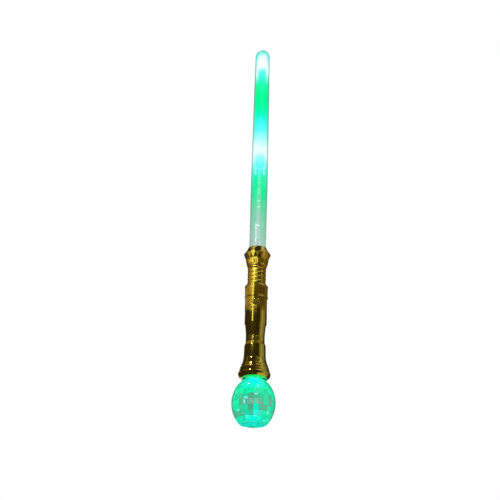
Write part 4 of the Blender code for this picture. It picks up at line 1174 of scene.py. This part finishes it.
def makeCell(name, node, s, nubUp):
    low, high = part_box(node)
    radius, length = s["radius"], s["length"]
    nubRadius, nubHeight = s["nub"]
    shoulder = length - nubHeight
    cap = shoulder - s["capRise"]
    foot, head = s["sleeve"]
    thin = radius - s["sleeveDepth"]
    line = [
        (0, length), (nubRadius - 0.0004, length), (nubRadius - 0.0001, length - 0.0001),
        (nubRadius, length - 0.0004), (nubRadius + 0.0001, cap), (0.80 * radius, cap),
        (0.84 * radius, shoulder - 0.0001), (0.88 * radius, shoulder),
        (0.93 * radius, shoulder - 0.0001), (thin - 0.0001, shoulder - 0.0005),
        (thin, shoulder - 0.0010), (thin, head + 0.0001), (radius - 0.00002, head),
        (radius, head - 0.0001), (radius, head - s["band"]), (radius, foot + 0.0003),
        (radius - 0.0001, foot + 0.0001), (thin, foot), (thin - 0.0001, 0.0003),
        (0.93 * radius, 0.0001), (0.88 * radius, 0), (0.84 * radius, 0.0001),
        (0.80 * radius, 0.0004), (0.50 * radius, 0.0004), (0.44 * radius, 0.0002), (0, 0.0002),
    ]
    mesh = turnedMesh(name, line, s["steps"])
    for face in mesh.polygons:
        reach = math.hypot(face.center.x, face.center.y)
        if foot < face.center.z < head and reach > thin - 0.00005:
            face.material_index = 2 if face.center.z > head - s["band"] else 1
    if not nubUp:
        mesh.transform(Matrix.Translation((0, 0, length)) @ Matrix.Rotation(math.pi, 4, "X"))
    mesh.transform(Matrix.Translation((*middleOf(low, high), low.z)))
    finishPiece(looseObject(name, mesh), cellFinishes, "handle", [node], 40)


def coilMesh(name, centre, low, high, s):
    shape = bmesh.new()
    count, sides = s["turns"] * s["stepsPerTurn"], s["sides"]
    thick, up = s["wire"] / 2, Vector((0, 0, 1))
    rings = []
    for k in range(count + 1):
        share = k / count
        out = roundPoint(1, 2 * math.pi * s["turns"] * share)
        climb = limited((share - s["closed"]) / (1 - 2 * s["closed"]))
        height = low + thick + (high - low - s["wire"]) * climb
        middle = out * s["radius"] + Vector((*centre, height))
        angles = [2 * math.pi * n / sides for n in range(sides)]
        rings.append([shape.verts.new(middle + thick * (math.cos(a) * out + math.sin(a) * up))
                      for a in angles])
    for one, two in zip(rings, rings[1:]):
        for i in range(sides):
            j = (i + 1) % sides
            shape.faces.new((one[i], one[j], two[j], two[i]))
    return closedMesh(name, shape, rings)


def makeSpring(name, node, s):
    low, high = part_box(node)
    obj = looseObject(name, coilMesh(name, middleOf(low, high), low.z, high.z, s))
    finishPiece(obj, nickel, "handle", [node], 60)


for number, nubUp in ((1, True), (2, False), (3, True)):
    makeCell(f"cell{number}", f"battery_{number}", cell, nubUp)
    makeSpring(f"coilSpring{number}", f"contact_spring_{number}", spring)
print("cells and springs built")


# inside: boards, contacts, wires and lights keep their frame shapes and get their finishes

noGlow = ((1, 1, 1), 0.0)

insideFinishes = {
    # name: two colours, roughness, glow, nodes
    "whitePlug": ((0.82, 0.83, 0.80), (0.88, 0.88, 0.86), 0.5, noGlow, ["blade_plug"]),
    # the clear spacer glows with painted light
    "clearSpacerPaintedGlow": ((0.70, 0.95, 0.88), (0.85, 0.98, 0.94), 0.2, ((0.45, 1.0, 0.85), 0.8),
                    ["strip_spacer"]),
    # the unlit light gets a faint painted glow
    "ledUnlitPaintedGlow": ((0.55, 0.70, 0.62), (0.70, 0.80, 0.74), 0.2, ((0.4, 0.8, 0.65), 0.3),
                 ["strip_led_base"]),
    "ledLit": ((0.8, 1.0, 0.95), (0.9, 1.0, 0.97), 0.2, ((0.75, 1.0, 0.97), 3.0),
               ["strip_led_middle", "strip_led_tip"]),
    "ballLed": ((0.6, 1.0, 0.9), (0.8, 1.0, 0.95), 0.15, ((0.25, 1.0, 0.85), 3.0),
                ["ball_led_1", "ball_led_2", "ball_led_3"]),
    "greenLaminate": ((0.06, 0.26, 0.12), (0.10, 0.36, 0.17), 0.4, noGlow,
                      ["ball_led_board", "control_board"]),
    "blackEpoxy": ((0.02, 0.02, 0.02), (0.04, 0.04, 0.04), 0.35, noGlow, ["control_chip"]),
    "switchBlack": ((0.05, 0.05, 0.055), (0.08, 0.08, 0.085), 0.4, noGlow, ["switch_body"]),
    "plungerWhite": ((0.75, 0.75, 0.74), (0.82, 0.82, 0.80), 0.45, noGlow, ["switch_plunger"]),
    "carrierBlack": ((0.03, 0.03, 0.03), (0.05, 0.05, 0.05), 0.55, noGlow,
                     ["contact_carrier_lower", "contact_carrier_upper"]),
    "redWire": ((0.45, 0.02, 0.015), (0.60, 0.04, 0.03), 0.4, noGlow,
                ["blade_wire_red", "ball_wire_red", "supply_wire_red"]),
    "blackWire": ((0.015, 0.015, 0.015), (0.03, 0.03, 0.03), 0.4, noGlow,
                  ["blade_wire_black", "ball_wire_black", "supply_wire_black"]),
}

stripLight = {
    "low": 0.25,
    "high": 0.65,
    "colour": (1.0, 0.55, 0.86),
    "strength": (
        (0.27, 0.40), (0.35, 0.40), (0.37, 0.55), (0.40, 0.70), (0.43, 0.80), (0.46, 0.40),
    ),
}


def stripFinish(name, s):
    # white laminate, brighter where the lights of the upper half reach it
    material = plainFinish(name, (0.72, 0.58, 0.67), (0.84, 0.70, 0.79), 0.45, 300, 0.00002)
    tree = material.node_tree
    along = mapRange(tree, axesOf(tree, objectPlace(tree))["Z"], s["low"], s["high"])
    most = max(value for _, value in s["strength"])
    light = valueRamp(tree, along, [(shareOf(s, height), value / most)
                                    for height, value in s["strength"]])
    feed(tree, tree.nodes["Principled BSDF"], {
        "Emission Color": s["colour"], "Emission Strength": mathNode(tree, "MULTIPLY", light, most),
    })
    return material


def dressNodes(finish, nodes):
    for node in nodes:
        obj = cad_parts[node]
        if not obj.material_slots:
            obj.data.materials.append(finish)
        for each in obj.material_slots:
            each.link = "OBJECT"
            each.material = finish


for name, (colour, second, roughness, glow, nodes) in insideFinishes.items():
    dressNodes(plainFinish(name, colour, second, roughness, glow=glow), nodes)
dressNodes(nickel, ["contact_negative", "contact_positive", "link_plate_lower", "link_plate_upper"])
dressNodes(stripFinish("stripLaminate", stripLight), ["strip_board"])
print("inside dressed")


# studio: pale floor, white surround, three soft lamps and cards that shape the shine on the gold

floorSettings = {"radius": 1.6, "drop": 0.0004, "colour": (0.90, 0.90, 0.90), "glow": 0.55,
                 "fade": (0.45, 0.95)}

worldSettings = {"seen": (1.0, 1.0, 1.0), "light": (0.95, 0.98, 1.0), "strength": 0.55}

cardColours = {
    "white": (1.0, 1.0, 1.0),
    "warm": (1.0, 0.90, 0.70),
    "brown": (1.0, 0.72, 0.40),
    "green": (1.0, 0.98, 0.80),
    "dark": (1.0, 0.80, 0.62),
}

cards = {
    # name: start and end in degrees to the right of the front, distance, foot, top,
    # brightness, colour
    "lowFrontLeft": (-130, -37, 0.150, 0.001, 0.222, 0.030, "dark"),
    "lowFrontSlit": (-37, -26, 0.150, 0.001, 0.185, 0.025, "dark"),
    "lowFrontRight": (-26, 42, 0.150, 0.001, 0.222, 0.025, "dark"),
    "lowRightEdge": (42, 54, 0.150, 0.001, 0.222, 0.12, "white"),
    "lowRightInner": (54, 66, 0.150, 0.001, 0.222, 0.26, "white"),
    "lowRightGrey": (66, 80, 0.150, 0.001, 0.222, 0.36, "white"),
    "lowRightOuter": (80, 112, 0.150, 0.001, 0.222, 0.22, "white"),
    "lowRearRight": (112, 190, 0.150, 0.001, 0.222, 0.04, "dark"),
    "lowRearGlow": (190, 214, 0.150, 0.001, 0.222, 0.70, "white"),
    "lowRearLeft": (214, 230, 0.150, 0.001, 0.222, 0.05, "dark"),
    "barrelLeft": (-130, -58, 0.070, 0.203, 0.229, 0.34, "brown"),
    "barrelInner": (-58, -37, 0.070, 0.203, 0.229, 0.50, "warm"),
    "barrelMiddle": (-26, -16, 0.070, 0.203, 0.229, 0.20, "warm"),
    "barrelRight": (-16, 80, 0.070, 0.203, 0.233, 0.08, "dark"),
    "rightLow": (40, 134, 0.49, 0.02, 0.225, 0.30, "brown"),
    "rightFlag": (8, 96, 0.50, 0.02, 0.57, 0.10, "brown"),
    "rightEdge": (96, 134, 0.50, 0.02, 0.80, 0.14, "brown"),
    "rightTan": (8, 96, 0.52, 0.57, 0.635, 0.90, "white"),
    "rightShade": (8, 96, 0.52, 0.635, 0.90, 0.09, "brown"),
    "rightUpper": (30, 96, 0.52, 0.90, 0.98, 1.10, "white"),
    "rearRightFlag": (134, 160, 0.50, 0.02, 1.2, 0.05, "dark"),
    "rearLeftFlag": (196, 236, 0.50, 0.02, 1.2, 0.05, "dark"),
    "leftFoot": (-124, -92, 0.50, 0.02, 0.29, 0.08, "green"),
    "leftGlow": (-92, -62, 0.50, 0.02, 0.22, 0.42, "green"),
    "leftFlag": (-124, -92, 0.50, 0.29, 1.2, 0.30, "brown"),
    "leftInner": (-92, -82, 0.50, 0.22, 1.2, 0.30, "brown"),
    "keyOuter": (-82, -68, 1.00, 0.04, 0.90, 0.42, "brown"),
    "keyLeft": (-68, -52, 1.00, 0.04, 0.90, 0.70, "warm"),
    "keyCard": (-52, -14, 1.00, 0.04, 0.90, 1.10, "white"),
    "keyRight": (-14, 8, 1.00, 0.04, 0.90, 0.75, "white"),
    "keyFoot": (-62, -44, 0.99, 0.04, 0.25, 0.90, "white"),
    "keyPeak": (-44, -12, 0.99, 0.04, 0.25, 1.50, "white"),
    "footFlag": (-12, 30, 0.98, 0.04, 0.25, 0.06, "dark"),
    "petalGlow": (50, 74, 0.10, 0.2385, 0.2455, 0.75, "green"),
    "streakCard": (-37, -25, 0.975, 0.626, 0.676, 22.0, "white"),
    "highFlag": (-130, 14, 1.05, 0.88, 1.62, 0.03, "dark"),
}

panels = {
    # name: height, inner and outer reach, and the first span's start, in degrees; then the end
    # and brightness of each span, which starts where the last one ended
    "underBall": (-0.0002, 0.001, 0.045, -180, ((180, 0.03),)),
    "roofMiddle": (1.60, 0.001, 0.30, -180, ((180, 0.02),)),
    "roofSpark": (1.58, 0.44, 0.72, -69, ((-54, 55.0),)),
    "roofStep": (1.59, 0.66, 0.94, 44, ((82, 1.8),)),
    "roofStepOuter": (1.59, 0.94, 1.28, 44, ((104, 1.8),)),
    "collarShade": (0.40, 0.020, 0.090, -75, ((30, 0.02),)),
    "roofInner": (1.60, 0.30, 0.78, -180, (
        (-125, 0.10), (-66, 0.90), (-22, 0.05), (22, 0.04), (88, 0.06), (125, 0.36), (146, 0.50),
        (180, 0.12))),
    "roofOuter": (1.60, 0.78, 1.30, -180, (
        (-160, 0.9), (-105, 0.05), (16, 0.03), (86, 0.95), (108, 0.55), (150, 0.34), (180, 0.08))),
    "floorInner": (0.0006, 0.045, 0.62, -180, ((24, 0.04), (118, 0.50), (160, 0.10))),
    "floorOuter": (0.0006, 0.62, 1.35, -180, (
        (-140, 0.35), (-112, 0.06), (-88, 0.25), (-72, 0.05), (-56, 0.16), (-42, 0.03),
        (-26, 0.22), (-8, 0.12), (22, 0.24), (40, 0.03), (62, 0.32), (80, 0.12), (104, 0.45),
        (128, 0.06), (150, 0.40), (180, 0.10))),
}

# panels darker than this get the dark colour
darkBelow = 0.045

lamps = {
    # name: degrees to the right, height, distance, size, power
    "keyLamp": (-42, 1.25, 1.6, (0.7, 0.9), 26),
    "fillLamp": (60, 0.9, 1.8, (0.9, 0.9), 12),
    "topLamp": (170, 1.9, 0.9, (0.8, 0.5), 12),
}
lampTarget = (0, 0, 0.3)


def seenRays(tree):
    path = addNode(tree, "LightPath").outputs
    seen = mathNode(tree, "MAXIMUM", path["Is Camera Ray"], path["Is Glossy Ray"])
    return mathNode(tree, "MAXIMUM", seen, path["Is Transmission Ray"])


def makeWorld(s):
    world = bpy.data.worlds.new("studio")
    bpy.context.scene.world = world
    world.use_nodes = True
    tree = world.node_tree
    seen = seenRays(tree)
    feed(tree, tree.nodes["Background"], {
        "Color": mixColour(tree, seen, s["light"], s["seen"]),
        "Strength": mapRange(tree, seen, 0, 1, s["strength"], 1.0),
    })


def makeFloor(s):
    shape = bmesh.new()
    bmesh.ops.create_circle(shape, cap_ends=True, segments=96, radius=s["radius"])
    floor = looseObject("floor", endMesh("floor", shape))
    floor.location.z = -s["drop"]
    material, tree, shader = newMaterial("paleFloor")
    feed(tree, shader, {"Base Color": s["colour"], "Roughness": 0.9, "Specular IOR Level": 0.0})
    white = addNode(tree, "Emission", {"Color": (1, 1, 1), "Strength": 1.0})
    seen = mathNode(tree, "MULTIPLY", seenRays(tree), s["glow"])
    lit = addNode(tree, "MixShader", {0: seen, 1: shader.outputs[0], 2: white.outputs[0]})
    start, end = (share * s["radius"] for share in s["fade"])
    fade = mapRange(tree, lengthOf(tree, objectPlace(tree)), start, end, 0, 1, True)
    below = addNode(tree, "NewGeometry").outputs["Backfacing"]
    gone = mathNode(tree, "MAXIMUM", fade, below)
    clear = addNode(tree, "BsdfTransparent")
    surface = addNode(tree, "MixShader", {0: gone, 1: lit.outputs[0], 2: clear.outputs[0]})
    feed(tree, tree.nodes["Material Output"], {"Surface": surface.outputs[0]})
    floor.data.materials.append(material)


def hangStrip(name, start, end, least, ends, brightness, colour):
    # a glowing strip bent round the wand, between two ends that are each a reach and a height
    shape = bmesh.new()
    count = max(least, int(abs(end - start) / 6))
    turns = [start + (end - start) * i / count for i in range(count + 1)]
    edges = [[shape.verts.new(frontPoint(turn, *spot)) for spot in ends] for turn in turns]
    for one, two in zip(edges, edges[1:]):
        shape.faces.new((one[0], two[0], two[1], one[1]))
    card = looseObject(name, endMesh(name, shape))
    material, tree, _ = newMaterial(name + "Cloth")
    glow = addNode(tree, "Emission", {"Color": cardColours[colour], "Strength": brightness})
    feed(tree, tree.nodes["Material Output"], {"Surface": glow.outputs[0]})
    card.data.materials.append(material)
    card.visible_camera = False
    card.visible_diffuse = False
    card.visible_transmission = False
    card.visible_shadow = False


def makeLamp(name, turn, height, distance, size, power):
    data = bpy.data.lights.new(name, "AREA")
    data.shape = "RECTANGLE"
    data.size, data.size_y = size
    data.energy = power
    lamp = looseObject(name, data)
    lamp.visible_glossy = False
    lamp.location = frontPoint(turn, distance, height)
    lamp.rotation_euler = (Vector(lampTarget) - lamp.location).to_track_quat("-Z", "Y").to_euler()


makeWorld(worldSettings)
makeFloor(floorSettings)
for name, (start, end, distance, foot, top, brightness, colour) in cards.items():
    hangStrip(name, start, end, 4, ((distance, foot), (distance, top)), brightness, colour)
for name, (height, inner, outer, start, spans) in panels.items():
    ends = ((outer, height), (inner, height))
    for k, (end, brightness) in enumerate(spans):
        colour = "dark" if brightness < darkBelow else "white"
        hangStrip(f"{name}{k}", start, end, 2, ends, brightness, colour)
        start = end
for name, values in lamps.items():
    makeLamp(name, *values)
bpy.context.scene.view_settings.view_transform = "Standard"
print("studio set")
